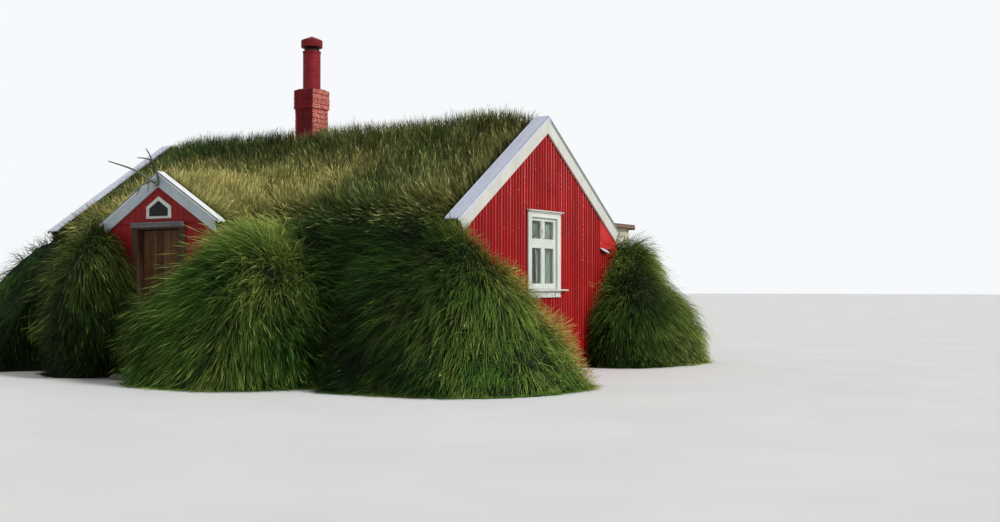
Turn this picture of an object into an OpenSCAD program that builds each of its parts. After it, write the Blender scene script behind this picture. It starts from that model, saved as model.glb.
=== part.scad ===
// Small turf house: timber room between thick turf walls, grass roof, one iron-clad gable
// window at each end, a low porch with a plank door, and a painted chimney on the ridge.
// X runs along the ridge, the porch faces -Y, Z is up. The origin is on the ground,
// under the middle of the room.

/* [House] */
// Length over the gable boards
house_l = 7400; // [6000:10:9000]
// Width across the lower edges of the roof
house_w = 4600; // [4000:10:5600]
// Height of the roof surface at the ridge
ridge_h = 3535; // [3000:5:4300]
// Height of the roof surface at its lower edge
eaves_h = 2035; // [1850:5:2450]
// Clear width of the room
room_w = 3500; // [2800:10:3700]
// Thickness of the timber walls
timber_wall_t = 100; // [60:5:150]
// Thickness of the floors
floor_t = 50; // [30:5:100]
// Height of the wall plates at their outer side
plate_h = 70; // [40:5:120]

/* [Roof] */
// Thickness of the turf on the roof
turf_t = 150; // [80:5:200]
// Thickness of the boards under the turf
board_t = 25; // [18:1:40]
// Depth of a rafter
rafter_h = 100; // [70:5:150]
// Width of a rafter or a tie beam
rafter_w = 60; // [40:5:90]
// Depth of a tie beam
tie_h = 100; // [70:5:140]
// Distance between rafters
rafter_step = 850; // [500:10:900]

/* [Gables] */
// Distance by which a gable board runs below the boards under the turf
verge_over = 15; // [5:5:80]
// Thickness of a gable board
verge_t = 30; // [20:1:45]
// Width of the metal capping along the gable edge
cap_w = 200; // [120:5:300]
// Thickness of the metal capping
cap_t = 12; // [6:1:20]
// Height of the lip that the capping turns down over the gable board
cap_lip = 30; // [15:1:60]
// Length by which the capping runs past the lower end of the board
cap_over = 30; // [0:5:100]
// Depth of the corrugated iron cladding
sheet_t = 20; // [12:1:30]

/* [Gable windows] */
// Clear width inside the casing
win_w = 740; // [500:10:900]
// Clear height inside the casing
win_h = 980; // [700:10:1100]
// Height of the clear opening above the ground
win_z = 1150; // [1000:10:1250]
// Offset of the window from the middle of the gable
win_y = -84; // [-150:1:150]
// Width of the side casings
casing_w = 98; // [60:1:120]
// Height of the top casing
casing_top = 42; // [30:1:90]
// Thickness of the casings
casing_t = 22; // [15:1:35]
// Width of the sash stiles
stile_w = 58; // [40:1:80]
// Width of the post between the panes
mullion_w = 104; // [60:1:120]
// Height of the sash's top rail
rail_top = 44; // [30:1:80]
// Height of the sash's bottom rail
rail_bottom = 76; // [50:1:110]
// Height of the bar between the small and the tall panes
transom_h = 125; // [60:1:140]
// Height of the small upper panes
pane_top_h = 247; // [180:1:320]
// Thickness of the sash
sash_t = 34; // [25:1:45]
// Thickness of the glass
glass_t = 4; // [3:1:8]
// Projection of the sill
sill_out = 70; // [40:1:110]
// Thickness of the sill board
sill_t = 24; // [15:1:40]
// Height of the apron board under the sill
apron_h = 90; // [50:1:140]
// Height of the board over the window
hood_h = 64; // [40:1:100]
// Projection of the board over the window
hood_out = 52; // [30:1:90]

/* [Curtains] */
// Width of the curtain on the left of each window, seen from outside
curtain_left_w = 250; // [150:10:300]
// Distance from that curtain to the side of the window
curtain_in = 75; // [10:5:100]
// Gap between the two curtains
curtain_gap = 23; // [10:1:60]
// Space that the folds of a curtain take up
curtain_t = 24; // [10:1:30]
// Thickness of the curtain rod
rod_t = 12; // [8:1:20]

/* [Turf walls] */
// Distance from the roof's lower edge down to the top of the turf walls
turf_drop = 65; // [60:5:300]
// Distance from the roof edge to the foot of the turf walls
turf_foot = 800; // [500:10:1100]
// Foot radius of the turf banks round the front corners
front_bank_r = 1560; // [1200:10:1700]
// Foot radius of the turf banks round the rear corners
rear_bank_r = 1150; // [900:10:1400]
// Distance from a corner bank's middle to the gable cladding
bank_out = 180; // [100:10:300]
// Distance from a front corner bank's middle to the roof edge
front_bank_y = 200; // [100:10:350]
// Distance from a rear corner bank's middle to the roof edge
rear_bank_y = 350; // [100:10:450]
// Straight length of a front corner bank, towards the porch
front_bank_run = 1000; // [600:10:1050]

/* [Porch] */
// Offset of the porch from the middle of the house
porch_x = -200; // [-600:10:600]
// Distance from the middle of the house to the porch front
porch_y = 3450; // [3200:10:3900]
// Width across the porch roof
porch_w = 2000; // [1800:10:2300]
// Height of the porch roof at its ridge
porch_ridge_h = 2663; // [2500:1:2900]
// Height of the porch roof at its lower edge
porch_eaves_h = 2051; // [1950:1:2200]
// Clear width inside the porch
porch_room_w = 1400; // [1200:10:1500]
// Thickness of the porch side lining
porch_lining_t = 25; // [18:1:40]
// Thickness of the porch front wall
porch_wall_t = 125; // [90:5:160]
// Distance by which the porch roof runs past the red front wall
porch_side_over = 50; // [20:5:100]
// Thickness of the turf on the porch roof
porch_turf_t = 120; // [70:5:150]
// Distance by which a porch gable board runs below the boards under the turf
porch_verge_over = 5; // [5:1:60]
// Thickness of a porch gable board
porch_verge_t = 25; // [18:1:40]
// Width of the porch capping
porch_cap_w = 110; // [60:5:200]
// Thickness of the porch capping
porch_cap_t = 22; // [10:1:40]
// Length by which the porch capping runs past the boards
porch_cap_over = 75; // [0:5:120]
// Foot radius of the turf bank left of the porch
left_bank_r = 690; // [550:10:800]
// Foot radius of the turf bank right of the porch
right_bank_r = 1220; // [900:10:1300]
// Distance from the porch's middle to the middle of its left bank
left_bank_x = 1220; // [1150:10:1400]
// Distance from the porch's middle to the middle of its right bank
right_bank_x = 1480; // [1300:10:1900]
// Distance by which the middles of the porch banks stand behind the porch front
bank_back = 50; // [0:10:300]
// Space between the door frame and the banks
bank_clear = 30; // [20:5:100]
// Distance from the porch roof's lower edge down to the top of the porch banks
bank_drop = 106; // [80:1:300]

/* [Door] */
// Width of the door opening
door_w = 760; // [650:5:850]
// Height of the door opening above the floor
door_h = 1885; // [1700:5:1885]
// Width of the door jambs
jamb_w = 90; // [60:1:110]
// Depth of the frame
jamb_d = 150; // [130:1:180]
// Height of the frame's head
frame_head_h = 65; // [50:1:90]
// Thickness of the door leaf
leaf_t = 35; // [28:1:45]
// Clearance round the closed leaf on the hinge side, top and stops
leaf_gap = 5; // [5:1:8]
// Clearance at the leaf's free edge
latch_gap = 9; // [8:1:12]
// Width of the stop strips that the leaf closes against
stop_w = 14; // [10:1:20]
// Height of the board over the door
sign_h = 66; // [50:1:100]
// Thickness of the board over the door
sign_t = 25; // [15:1:40]

/* [Porch window] */
// Width of the five-sided window
pent_w = 440; // [350:5:500]
// Distance from the seam over the door to the window's foot
pent_foot = 74; // [50:1:120]
// Height of the window's upright sides
pent_side = 155; // [120:1:180]
// Height of the window's point above its foot
pent_h = 288; // [260:1:300]
// Width of the window's frame
pent_bar = 52; // [35:1:60]

/* [Chimney] */
// Offset of the chimney from the middle of the house
chimney_x = -480; // [-480:10:-400]
// Side of the chimney's square head
stack_w = 400; // [340:5:460]
// Side of the shaft below the head
shaft_w = 368; // [300:4:420]
// Height of the top of the head above the ridge
stack_rise = 695; // [500:5:1000]
// Height of the head itself
head_part_h = 300; // [200:10:400]
// Diameter of the round pipe
pipe_d = 272; // [200:4:300]
// Height of the pipe
pipe_h = 670; // [400:10:800]
// Wall of the pipe
pipe_t = 14; // [8:1:25]
// Diameter of the lid on the pipe
lid_d = 332; // [300:4:380]
// Height of the lid's rim
lid_h = 155; // [80:5:200]
// Height of the lid's low cone
cone_h = 28; // [10:1:60]
// Diameter of the flue
flue_d = 200; // [150:5:220]

/* [Annexe] */
// Distance from the gable capping to the annexe roof
annexe_gap = 10; // [5:5:300]
// Length of the annexe
annexe_l = 1500; // [1200:10:1800]
// Distance from the roof edge to the annexe's rear face
annexe_d = 1000; // [800:10:1300]
// Height of the annexe walls above the main roof's lower edge
annexe_rise = 85; // [60:5:200]
// Thickness of the annexe walls
annexe_wall_t = 80; // [60:5:120]
// Thickness of the annexe roof
annexe_roof_t = 60; // [40:5:100]
// Overhang of the annexe roof
annexe_over = 100; // [60:10:200]
// Width of the way from the room into the annexe
annexe_way_w = 700; // [600:10:800]

/* [Hidden] */
$fn = 48;

// Slopes: a thickness measured square to the roof takes more height
roof_run = house_w / 2;
roof_rise = ridge_h - eaves_h;
roof_a = atan(roof_rise / roof_run);
porch_run = porch_w / 2;
porch_rise = porch_ridge_h - porch_eaves_h;
porch_a = atan(porch_rise / porch_run);
slab_t = turf_t + board_t;
porch_slab_t = porch_turf_t + board_t;
// Width of the gable boards
verge_w = slab_t + verge_over;
porch_verge_w = porch_slab_t + porch_verge_over;
// Clearance between a roof and what carries it or covers it
seat_gap = 0.2;
bed_t = slab_t + seat_gap;
porch_bed_t = porch_slab_t + seat_gap;
// Depth under the roof surface at which the rafters end
rafter_t = slab_t + rafter_h;

// Faces along X, counted from the middle
gable_x = house_l / 2;
clad_x = gable_x - verge_t;
wall_x = clad_x - sheet_t;
room_x = wall_x - timber_wall_t;
// Faces along Y
room_y = room_w / 2;
lining_y = room_y + timber_wall_t;
// Headroom under the tie beams
head_h = roof_z(lining_y, rafter_t) - plate_h;
turf_wall_h = eaves_h - turf_drop;
// Porch
porch_half = porch_room_w / 2;
porch_out = porch_half + porch_lining_t;
porch_clad_y = porch_y - porch_verge_t;
porch_in_y = porch_y - porch_verge_t - porch_wall_t;
porch_front_w = porch_w - 2 * porch_side_over;
seam_h = floor_t + door_h + frame_head_h;
pent_z = seam_h + pent_foot;
way_back = 200;
// Half the width that the banks leave free in front of the door
front_clear = door_w / 2 + jamb_w + bank_clear;
// Annexe
annexe_x1 = gable_x - cap_w - annexe_gap - annexe_over;
annexe_x0 = annexe_x1 - annexe_l;
annexe_y1 = roof_run + annexe_d;
annexe_way_x = (annexe_x0 + annexe_x1) / 2;
annexe_h = eaves_h + annexe_rise;
// Door, with the pins that it turns on beside the hinge-side jamb
hinge_x = porch_x - door_w / 2;
hinge_y = -(porch_in_y - 12);
leaf_x0 = hinge_x + leaf_gap;
leaf_x1 = porch_x + door_w / 2 - latch_gap;
leaf_z0 = floor_t + 8;
leaf_z1 = floor_t + door_h - leaf_gap - 3;
pin_r = 5;
pin_gap = 0.05;
eye_r = 10;
eye_h = 50;
hinge_zs = [floor_t + 300, floor_t + 1500];
// Chimney
stack_h = ridge_h + stack_rise;
flue_z = 300;
profile_n = 12;
big = 20000;

// Height of the roof surface, less a thickness square to it, at a distance from the ridge
function roof_z(y, t) = ridge_h - roof_rise * y / roof_run - t / cos(roof_a);
function porch_z(x, t) = porch_ridge_h - porch_rise * x / porch_run - t / cos(porch_a);

// Quarter outline of a turf bank: n is 1 for a cone, 2 for an ellipse
function bulge(r, h, n) = [
    for (i = [0 : profile_n])
        let (a = 90 * i / profile_n)
        [r * pow(cos(a), 2 / n), h * pow(sin(a), 2 / n)]
];

// A (Y, Z) outline drawn out along X
module along_x(x0, x1) {
    translate([x0, 0, 0]) rotate([90, 0, 90]) linear_extrude(x1 - x0) children();
}

// An (X, Z) outline drawn out along Y
module along_y(y0, y1) {
    translate([0, y1, 0]) rotate([90, 0, 0]) linear_extrude(y1 - y0) children();
}

// A block between two corners
module block(a, b) {
    translate(a) cube(b - a);
}

// One layer of the main roof on one side, between two depths under its surface
module roof_layer(side, t0, t1, y0, y1) {
    polygon([
        [side * y0, roof_z(y0, t0)], [side * y1, roof_z(y1, t0)],
        [side * y1, roof_z(y1, t1)], [side * y0, roof_z(y0, t1)]
    ]);
}

// One layer of the porch roof on one side
module porch_layer(side, t0, t1, x0, x1) {
    translate([porch_x, 0]) polygon([
        [side * x0, porch_z(x0, t0)], [side * x1, porch_z(x1, t0)],
        [side * x1, porch_z(x1, t1)], [side * x0, porch_z(x0, t1)]
    ]);
}

// Room for the way between the porch and the main room
module porch_way() {
    block([porch_x - porch_out, -roof_run - 1, 0], [porch_x + porch_out, -lining_y, big]);
}

// Everything under the main roof's surface, apart from the way in from the porch
module house_volume() {
    difference() {
        along_x(-clad_x, clad_x)
            polygon([[-roof_run, -1], [-roof_run, eaves_h], [0, ridge_h], [roof_run, eaves_h], [roof_run, -1]]);
        porch_way();
    }
}

// Everything inside the house's plan
module house_plan() {
    block([-clad_x, -roof_run, -1], [clad_x, roof_run, big]);
}

// Everything that the porch's roof, front and passage take up
module porch_volume() {
    for (side = [-1, 1])
        along_y(-porch_y, 0) porch_layer(side, 0, porch_slab_t, 0, porch_run);
    block([porch_x - porch_front_w / 2, -porch_y, -1], [porch_x + porch_front_w / 2, -porch_in_y, big]);
    block([porch_x - porch_out, -porch_y, -1], [porch_x + porch_out, 0, big]);
}

// Straight turf wall on one side of the room
module turf_core(side, x0, x1) {
    under = [
        [0, 0], [0, roof_z(lining_y, bed_t)], [roof_run - lining_y, roof_z(roof_run, bed_t)]
    ];
    face = bulge(turf_foot, turf_wall_h, 1.6);
    along_x(x0, x1) polygon([
        for (p = under) [side * (p[0] + lining_y), p[1]],
        for (i = [profile_n : -1 : 0]) [side * (roof_run + face[i][0]), face[i][1]]
    ]);
}

// Round turf bank
module bank(x, y, r, h, n) {
    translate([x, y, 0]) rotate_extrude($fn = 120) polygon(concat([[0, 0]], bulge(r, h, n)));
}

// Long turf bank with round ends, running from front to back
module long_bank(x, y0, y1, r, h, n) {
    face = bulge(r, h, n);
    bank(x, y0, r, h, n);
    along_y(y0, y1) translate([x, 0]) polygon(concat(
        [for (i = [0 : profile_n]) [-face[i][0], face[i][1]]],
        [for (i = [profile_n - 1 : -1 : 0]) face[i]]
    ));
}

// Bank round a corner of the house, cut where the house stands
module corner_bank(side_x, side_y) {
    r = side_y < 0 ? front_bank_r : rear_bank_r;
    y = side_y < 0 ? front_bank_y : rear_bank_y;
    n = side_y < 0 ? 1.12 : 1.4;
    mid_x = side_x * (clad_x + bank_out);
    mid_y = side_y * (roof_run + y);
    run = side_y < 0 ? front_bank_run : 0;
    difference() {
        union() {
            bank(mid_x, mid_y, r, turf_wall_h, n);
            if (run > 0)
                along_x(min(mid_x, mid_x - side_x * run), max(mid_x, mid_x - side_x * run))
                    translate([mid_y, 0]) scale([side_y, 1]) polygon(concat(
                        [[-y, 0]], bulge(r, turf_wall_h, n), [[-y, turf_wall_h]]
                    ));
        }
        house_plan();
    }
}

module annexe_volume() {
    block([annexe_x0, 0, -1], [annexe_x1, annexe_y1, big]);
}

module turf_wall_front_left() {
    color("darkolivegreen") difference() {
        union() {
            turf_core(-1, -wall_x, porch_x - porch_out);
            corner_bank(-1, -1);
        }
        porch_volume();
    }
}

module turf_wall_front_right() {
    color("darkolivegreen") difference() {
        union() {
            turf_core(-1, porch_x + porch_out, wall_x);
            corner_bank(1, -1);
        }
        porch_volume();
    }
}

module turf_wall_rear_left() {
    color("darkolivegreen") {
        turf_core(1, -wall_x, annexe_x0);
        corner_bank(-1, 1);
    }
}

module turf_wall_rear_right() {
    color("darkolivegreen") difference() {
        union() {
            turf_core(1, annexe_x1, wall_x);
            corner_bank(1, 1);
        }
        annexe_volume();
    }
}

// Bank beside the porch, behind which the straight turf wall runs on
module porch_bank(side, out, r, n) {
    color("olivedrab") difference() {
        long_bank(porch_x + side * out, bank_back - porch_y, -roof_run, r, porch_eaves_h - bank_drop, n);
        house_plan();
        porch_volume();
        turf_core(-1, -wall_x, wall_x);
        corner_bank(-1, -1);
        corner_bank(1, -1);
        block([porch_x - front_clear, -big, -1], [porch_x + front_clear, 0, big]);
    }
}

module porch_bank_left() {
    porch_bank(-1, left_bank_x, left_bank_r, 1.7);
}

module porch_bank_right() {
    porch_bank(1, right_bank_x, right_bank_r, 1.45);
}

// Hole that the chimney shaft fills
module shaft_hole() {
    half = shaft_w / 2;
    block([chimney_x - half, -half, -1], [chimney_x + half, half, big]);
}

// Floor of the room and of the annexe behind it
module main_floor() {
    color("burlywood") difference() {
        union() {
            block([-room_x, -room_y, 0], [room_x, room_y, floor_t]);
            block([annexe_way_x - annexe_way_w / 2, 0, 0],
                [annexe_way_x + annexe_way_w / 2, lining_y + 1, floor_t]);
            block([annexe_x0 + annexe_wall_t, lining_y, 0],
                [annexe_x1 - annexe_wall_t, annexe_y1 - annexe_wall_t, floor_t]);
        }
        shaft_hole();
    }
}

module porch_floor() {
    color("burlywood")
        block([porch_x - porch_half, -porch_in_y, 0], [porch_x + porch_half, -room_y, floor_t]);
}

// Flat stone in front of the door
module doorstep() {
    stone_w = 2 * front_clear - 100;
    stone_d = 420;
    stone_t = 70;
    corner = 60;
    color("dimgray") along_y(-porch_y - stone_d, -porch_y) translate([porch_x, 0]) polygon([
        [-stone_w / 2, 0], [stone_w / 2, 0], [stone_w / 2 - corner, stone_t],
        [corner - stone_w / 2, stone_t]
    ]);
}

// Upright timber lining in front of the turf, open at the porch and at the annexe
module room_lining() {
    color("peru") {
        block([-room_x, -lining_y, 0], [porch_x - porch_half, -room_y, head_h]);
        block([porch_x + porch_half, -lining_y, 0], [room_x, -room_y, head_h]);
        block([-room_x, room_y, 0], [annexe_way_x - annexe_way_w / 2, lining_y, head_h]);
        block([annexe_way_x + annexe_way_w / 2, room_y, 0], [room_x, lining_y, head_h]);
    }
}

// Rafters on each side of the middle one
rafter_n = floor((room_x - rafter_w) / rafter_step);

// Plates on the lining, tied across the room
module wall_plates() {
    plate_t = rafter_t + seat_gap;
    color("sienna") {
        for (side = [-1, 1])
            along_x(-room_x, room_x) polygon([
                [side * room_y, head_h], [side * lining_y, head_h],
                [side * lining_y, roof_z(lining_y, plate_t)], [side * room_y, roof_z(room_y, plate_t)]
            ]);
        difference() {
            for (i = [-rafter_n : 2 : rafter_n])
                translate([i * rafter_step - rafter_w / 2, -room_y - 1, head_h])
                    cube([rafter_w, room_w + 2, tie_h]);
            shaft_hole();
        }
    }
}

// Pairs of rafters that meet at the ridge
module rafters() {
    color("sienna") difference() {
        for (i = [-rafter_n : rafter_n])
            along_x(i * rafter_step - rafter_w / 2, i * rafter_step + rafter_w / 2)
                for (side = [-1, 1])
                    roof_layer(side, bed_t, rafter_t, 0, lining_y);
        shaft_hole();
    }
}

// Cuts that the roof needs for the chimney and for the way into the porch
module roof_cuts() {
    shaft_hole();
    porch_way();
}

module roof_boards() {
    color("tan") difference() {
        along_x(-clad_x, clad_x)
            for (side = [-1, 1])
                roof_layer(side, turf_t, slab_t, 0, roof_run);
        roof_cuts();
    }
}

module roof_turf(side) {
    color("olivedrab") difference() {
        along_x(-clad_x, clad_x) roof_layer(side, 0, turf_t, 0, roof_run);
        roof_cuts();
    }
}

module roof_turf_front() {
    roof_turf(-1);
}

module roof_turf_rear() {
    roof_turf(1);
}

// Outline of a gable wall up to the underside of the roof boards
module gable_outline(half) {
    polygon([
        [-half, 0], [-half, roof_z(half, bed_t)], [0, roof_z(0, bed_t)],
        [half, roof_z(half, bed_t)], [half, 0]
    ]);
}

// Hole for a gable window
module window_hole(extra) {
    translate([win_y - win_w / 2 - extra, win_z - extra])
        square([win_w + 2 * extra, win_h + 2 * extra]);
}

// Thickness of the box that lines a window hole
win_box_t = 22;

module gable_wall(side) {
    color("peru") along_x(min(side * room_x, side * wall_x), max(side * room_x, side * wall_x))
        difference() {
            gable_outline(lining_y);
            window_hole(win_box_t);
        }
}

module gable_wall_left() {
    gable_wall(-1);
}

module gable_wall_right() {
    gable_wall(1);
}

module gable_sheet(side) {
    color("firebrick") along_x(min(side * wall_x, side * clad_x), max(side * wall_x, side * clad_x))
        difference() {
            gable_outline(roof_run);
            window_hole(win_box_t);
        }
}

module gable_sheet_left() {
    gable_sheet(-1);
}

module gable_sheet_right() {
    gable_sheet(1);
}

// Gable board on one slope: square cut at its foot, upright at the ridge
module verge_board(side_x, side_y) {
    foot_y = roof_run - verge_w * sin(roof_a);
    foot_z = eaves_h - verge_w * cos(roof_a);
    x0 = min(side_x * clad_x, side_x * gable_x);
    along_x(x0, x0 + verge_t) polygon([
        [0, ridge_h], [side_y * roof_run, eaves_h], [side_y * foot_y, foot_z],
        [0, roof_z(0, verge_w)]
    ]);
}

module verge_boards() {
    color("whitesmoke")
        for (side_x = [-1, 1])
            for (side_y = [-1, 1])
                verge_board(side_x, side_y);
}

// Metal capping on the turf's edge, with a lip over the face of the gable boards
module verge_caps() {
    y1 = roof_run + cap_over;
    lip_t = 6;
    color("lavender")
        for (side = [-1, 1]) {
            x_in = side * (gable_x - cap_w);
            x_lip = side * (gable_x + lip_t);
            x_face = side * gable_x;
            along_x(min(x_in, x_lip), max(x_in, x_lip))
                for (side_y = [-1, 1])
                    roof_layer(side_y, -cap_t, -seat_gap, 0, y1);
            along_x(min(x_face, x_lip), max(x_face, x_lip))
                for (side_y = [-1, 1])
                    roof_layer(side_y, -cap_t, cap_lip, 0, y1);
        }
}

// Frame, sash and boards of a gable window, drawn for the +X gable
sash_x = clad_x - 10;
module window_parts() {
    y0 = win_y - win_w / 2;
    y1 = win_y + win_w / 2;
    z1 = win_z + win_h;
    side_y0 = y0 - casing_w;
    side_y1 = y1 + casing_w;
    // Box through the wall and casings on the cladding
    along_x(room_x, clad_x) difference() {
        window_hole(win_box_t);
        window_hole(0);
    }
    along_x(clad_x, clad_x + casing_t) difference() {
        translate([side_y0, win_z - sill_t]) square([side_y1 - side_y0, win_h + casing_top + sill_t]);
        window_hole(0);
    }
    // Board over the window, sill and apron
    block([clad_x, side_y0 - 15, z1 + casing_top],
        [clad_x + hood_out, side_y1 + 45, z1 + casing_top + hood_h]);
    block([clad_x, side_y0 - 5, win_z - sill_t], [clad_x + sill_out, side_y1 + 150, win_z]);
    block([clad_x, side_y0, win_z - sill_t - apron_h], [clad_x + casing_t, side_y1, win_z - sill_t]);
    // Sash
    along_x(sash_x - sash_t, sash_x) difference() {
        window_hole(0);
        pane_outlines();
    }
    // Curtain rod
    block([rod_x, y0, rod_z], [rod_x + rod_t, y1, rod_z + rod_t]);
}

rod_x = room_x + 40;
rod_z = win_z + win_h - 40;
pane_w = (win_w - 2 * stile_w - mullion_w) / 2;
pane_low_h = win_h - rail_top - rail_bottom - transom_h - pane_top_h;

// The four panes of a gable window
module pane_outlines() {
    for (y = [win_y - win_w / 2 + stile_w, win_y + win_w / 2 - stile_w - pane_w]) {
        translate([y, win_z + rail_bottom]) square([pane_w, pane_low_h]);
        translate([y, win_z + win_h - rail_top - pane_top_h]) square([pane_w, pane_top_h]);
    }
}

module window_right() {
    color("white") window_parts();
}

module window_left() {
    color("white") mirror([1, 0, 0]) window_parts();
}

// Panes of both gable windows and of the porch window
module window_glass() {
    pane_x = sash_x - (sash_t + glass_t) / 2;
    pane_y = -porch_clad_y + 40;
    color("lightblue") {
        for (side = [0, 1])
            mirror([side, 0, 0]) along_x(pane_x, pane_x + glass_t) pane_outlines();
        along_y(pane_y, pane_y + glass_t) pent_outline(pent_bar);
    }
}

// Curtains hanging from the rods
module curtains() {
    y0 = win_y - win_w / 2;
    y1 = win_y + win_w / 2;
    clear = 12;
    left_y1 = y0 + curtain_in + curtain_left_w;
    x0 = rod_x + rod_t / 2 - curtain_t / 2;
    color("darkseagreen")
        for (side = [0, 1])
            mirror([side, 0, 0]) {
                block([x0, y0 + curtain_in, win_z + clear], [x0 + curtain_t, left_y1, rod_z]);
                block([x0, left_y1 + curtain_gap, win_z + clear], [x0 + curtain_t, y1 - clear, rod_z]);
            }
}

// Side linings of the porch
module porch_lining() {
    color("peru")
        for (side = [-1, 1])
            along_y(-porch_in_y, -lining_y) translate([porch_x, 0]) polygon([
                [side * porch_half, 0], [side * porch_out, 0],
                [side * porch_out, porch_z(porch_out, porch_bed_t)],
                [side * porch_half, porch_z(porch_half, porch_bed_t)]
            ]);
}

// Outline of the porch front up to the underside of its roof
module porch_outline() {
    half = porch_front_w / 2;
    translate([porch_x, 0]) polygon([
        [-half, 0], [-half, porch_z(half, porch_bed_t)], [0, porch_z(0, porch_bed_t)],
        [half, porch_z(half, porch_bed_t)], [half, 0]
    ]);
}

// Red wall on both sides of the door
module porch_front() {
    half = door_w / 2 + jamb_w;
    color("firebrick") along_y(-porch_clad_y, -porch_in_y) difference() {
        porch_outline();
        translate([porch_x - half, -1]) square([2 * half, big]);
        translate([porch_x - big / 2, seam_h]) square([big, big]);
    }
}

// Red gable over the door, with a hole for the five-sided window
module porch_gable() {
    color("firebrick") along_y(-porch_clad_y, -porch_in_y) difference() {
        porch_outline();
        translate([porch_x - big / 2, -1]) square([big, seam_h + 1]);
        pent_outline(0);
    }
}

// Outline of the five-sided window, taken in by a bar width
module pent_outline(bar) {
    half = pent_w / 2 - bar;
    tip_a = atan((pent_h - pent_side) / (pent_w / 2));
    tip = pent_z + pent_h - bar / cos(tip_a);
    translate([porch_x, 0]) polygon([
        [-half, pent_z + bar * 0.8], [half, pent_z + bar * 0.8],
        [half, tip - half * tan(tip_a)], [0, tip], [-half, tip - half * tan(tip_a)]
    ]);
}

module porch_window() {
    proud = 16;
    color("white") along_y(-porch_clad_y - proud, -porch_clad_y + 70) difference() {
        pent_outline(0);
        pent_outline(pent_bar);
    }
}

module porch_roof_layer(t0, t1) {
    difference() {
        along_y(-porch_clad_y, -way_back)
            for (side = [-1, 1])
                porch_layer(side, t0, t1, 0, porch_run);
        house_volume();
    }
}

module porch_roof_boards() {
    color("tan") porch_roof_layer(porch_turf_t, porch_slab_t);
}

module porch_roof_turf() {
    color("yellowgreen") porch_roof_layer(0, porch_turf_t);
}

// Porch gable boards, cut upright at their feet
module porch_verge_boards() {
    color("lightgray") along_y(-porch_y, -porch_clad_y)
        for (side = [-1, 1])
            porch_layer(side, 0, porch_verge_w, 0, porch_run);
}

// White capping on the porch gable boards
module porch_verge_caps() {
    lip_t = 5;
    color("white") {
        along_y(-porch_y - lip_t, -porch_y + porch_cap_w)
            for (side = [-1, 1])
                porch_layer(side, -porch_cap_t, -seat_gap, 0, porch_run + porch_cap_over);
        along_y(-porch_y - lip_t, -porch_y)
            for (side = [-1, 1])
                porch_layer(side, -porch_cap_t, 14, 0, porch_run + porch_cap_over);
    }
}

// Weathered board over the door
module sign_board() {
    half = door_w / 2 + jamb_w;
    z0 = seam_h - 40;
    color("slategray")
        block([porch_x - half, -porch_y - sign_t, z0], [porch_x + half, -porch_y, z0 + sign_h]);
}

// Jambs, head, threshold and the strips that the leaf closes against
module door_frame() {
    half = door_w / 2;
    head_z = floor_t + door_h;
    color("dimgray") {
        for (side = [-1, 1]) {
            a = porch_x + side * half;
            b = porch_x + side * (half + jamb_w);
            s = porch_x + side * (half - stop_w);
            block([min(a, b), -porch_y, 0], [max(a, b), -porch_y + jamb_d, head_z]);
            block([min(a, s), -porch_y, 0], [max(a, s), -stop_y, head_z]);
        }
        block([porch_x - half - jamb_w, -porch_y, head_z],
            [porch_x + half + jamb_w, -porch_y + jamb_d, head_z + frame_head_h]);
        block([porch_x - half, -porch_y, 0], [porch_x + half, -porch_y + jamb_d, floor_t]);
    }
}

stop_y = porch_in_y + leaf_t + leaf_gap;

// Pins on the inner face of the hinge-side jamb
module hinge_pins() {
    arm_h = 10;
    color("saddlebrown")
        for (z = hinge_zs)
            translate([hinge_x, hinge_y, z]) {
                cylinder(r = pin_r, h = eye_h + 6);
                translate([0, 0, -arm_h - 2]) cylinder(r = eye_r, h = arm_h);
                translate([0, 0, -3]) cylinder(r = pin_r, h = 4);
                translate([-jamb_w + 20, -eye_r, -arm_h - 2]) cube([jamb_w - 20, 2 * eye_r, arm_h]);
                translate([-jamb_w + 20, -12, -40]) cube([30, 12, 70]);
            }
}

// Plank door with two ledges on its inner face
module door_leaf() {
    ledge_t = 22;
    ledge_h = 110;
    color("saddlebrown") {
        block([leaf_x0, -porch_in_y - leaf_t, leaf_z0], [leaf_x1, -porch_in_y, leaf_z1]);
        for (z = hinge_zs)
            block([leaf_x0 + 60, -porch_in_y, z + eye_h + 12],
                [leaf_x1 - 40, -porch_in_y + ledge_t, z + eye_h + 12 + ledge_h]);
    }
}

// Strap hinges with an eye for each pin, and a pull handle
module door_iron() {
    strap_l = 420;
    strap_t = 6;
    color("dimgray") {
        for (z = hinge_zs)
            difference() {
                union() {
                    translate([hinge_x, hinge_y, z]) cylinder(r = eye_r, h = eye_h);
                    block([hinge_x + 2, -porch_in_y, z], [hinge_x + strap_l, -porch_in_y + strap_t, z + eye_h]);
                }
                translate([hinge_x, hinge_y, z - 1]) cylinder(r = pin_r + pin_gap, h = eye_h + 2);
            }
        handle();
    }
}

// Bow handle on the outer face
module handle() {
    x = leaf_x1 - 70;
    z = 1000;
    grip = 130;
    out = 40;
    r = 7;
    translate([x, -porch_in_y - leaf_t - out, z]) cylinder(r = r, h = grip);
    for (dz = [0, grip])
        translate([x, -porch_in_y - leaf_t, z + dz]) {
            rotate([90, 0, 0]) cylinder(r = r, h = out);
            rotate([90, 0, 0]) cylinder(r = 16, h = 4);
            translate([0, -out, 0]) sphere(r = r);
        }
}

// Tapered branch of an antler through a list of points
module tine(points, r0, r1) {
    n = len(points) - 1;
    for (i = [0 : n - 1])
        hull() {
            translate(points[i]) sphere(r = r0 + (r1 - r0) * i / n, $fn = 12);
            translate(points[i + 1]) sphere(r = r0 + (r1 - r0) * (i + 1) / n, $fn = 12);
        }
}

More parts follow.
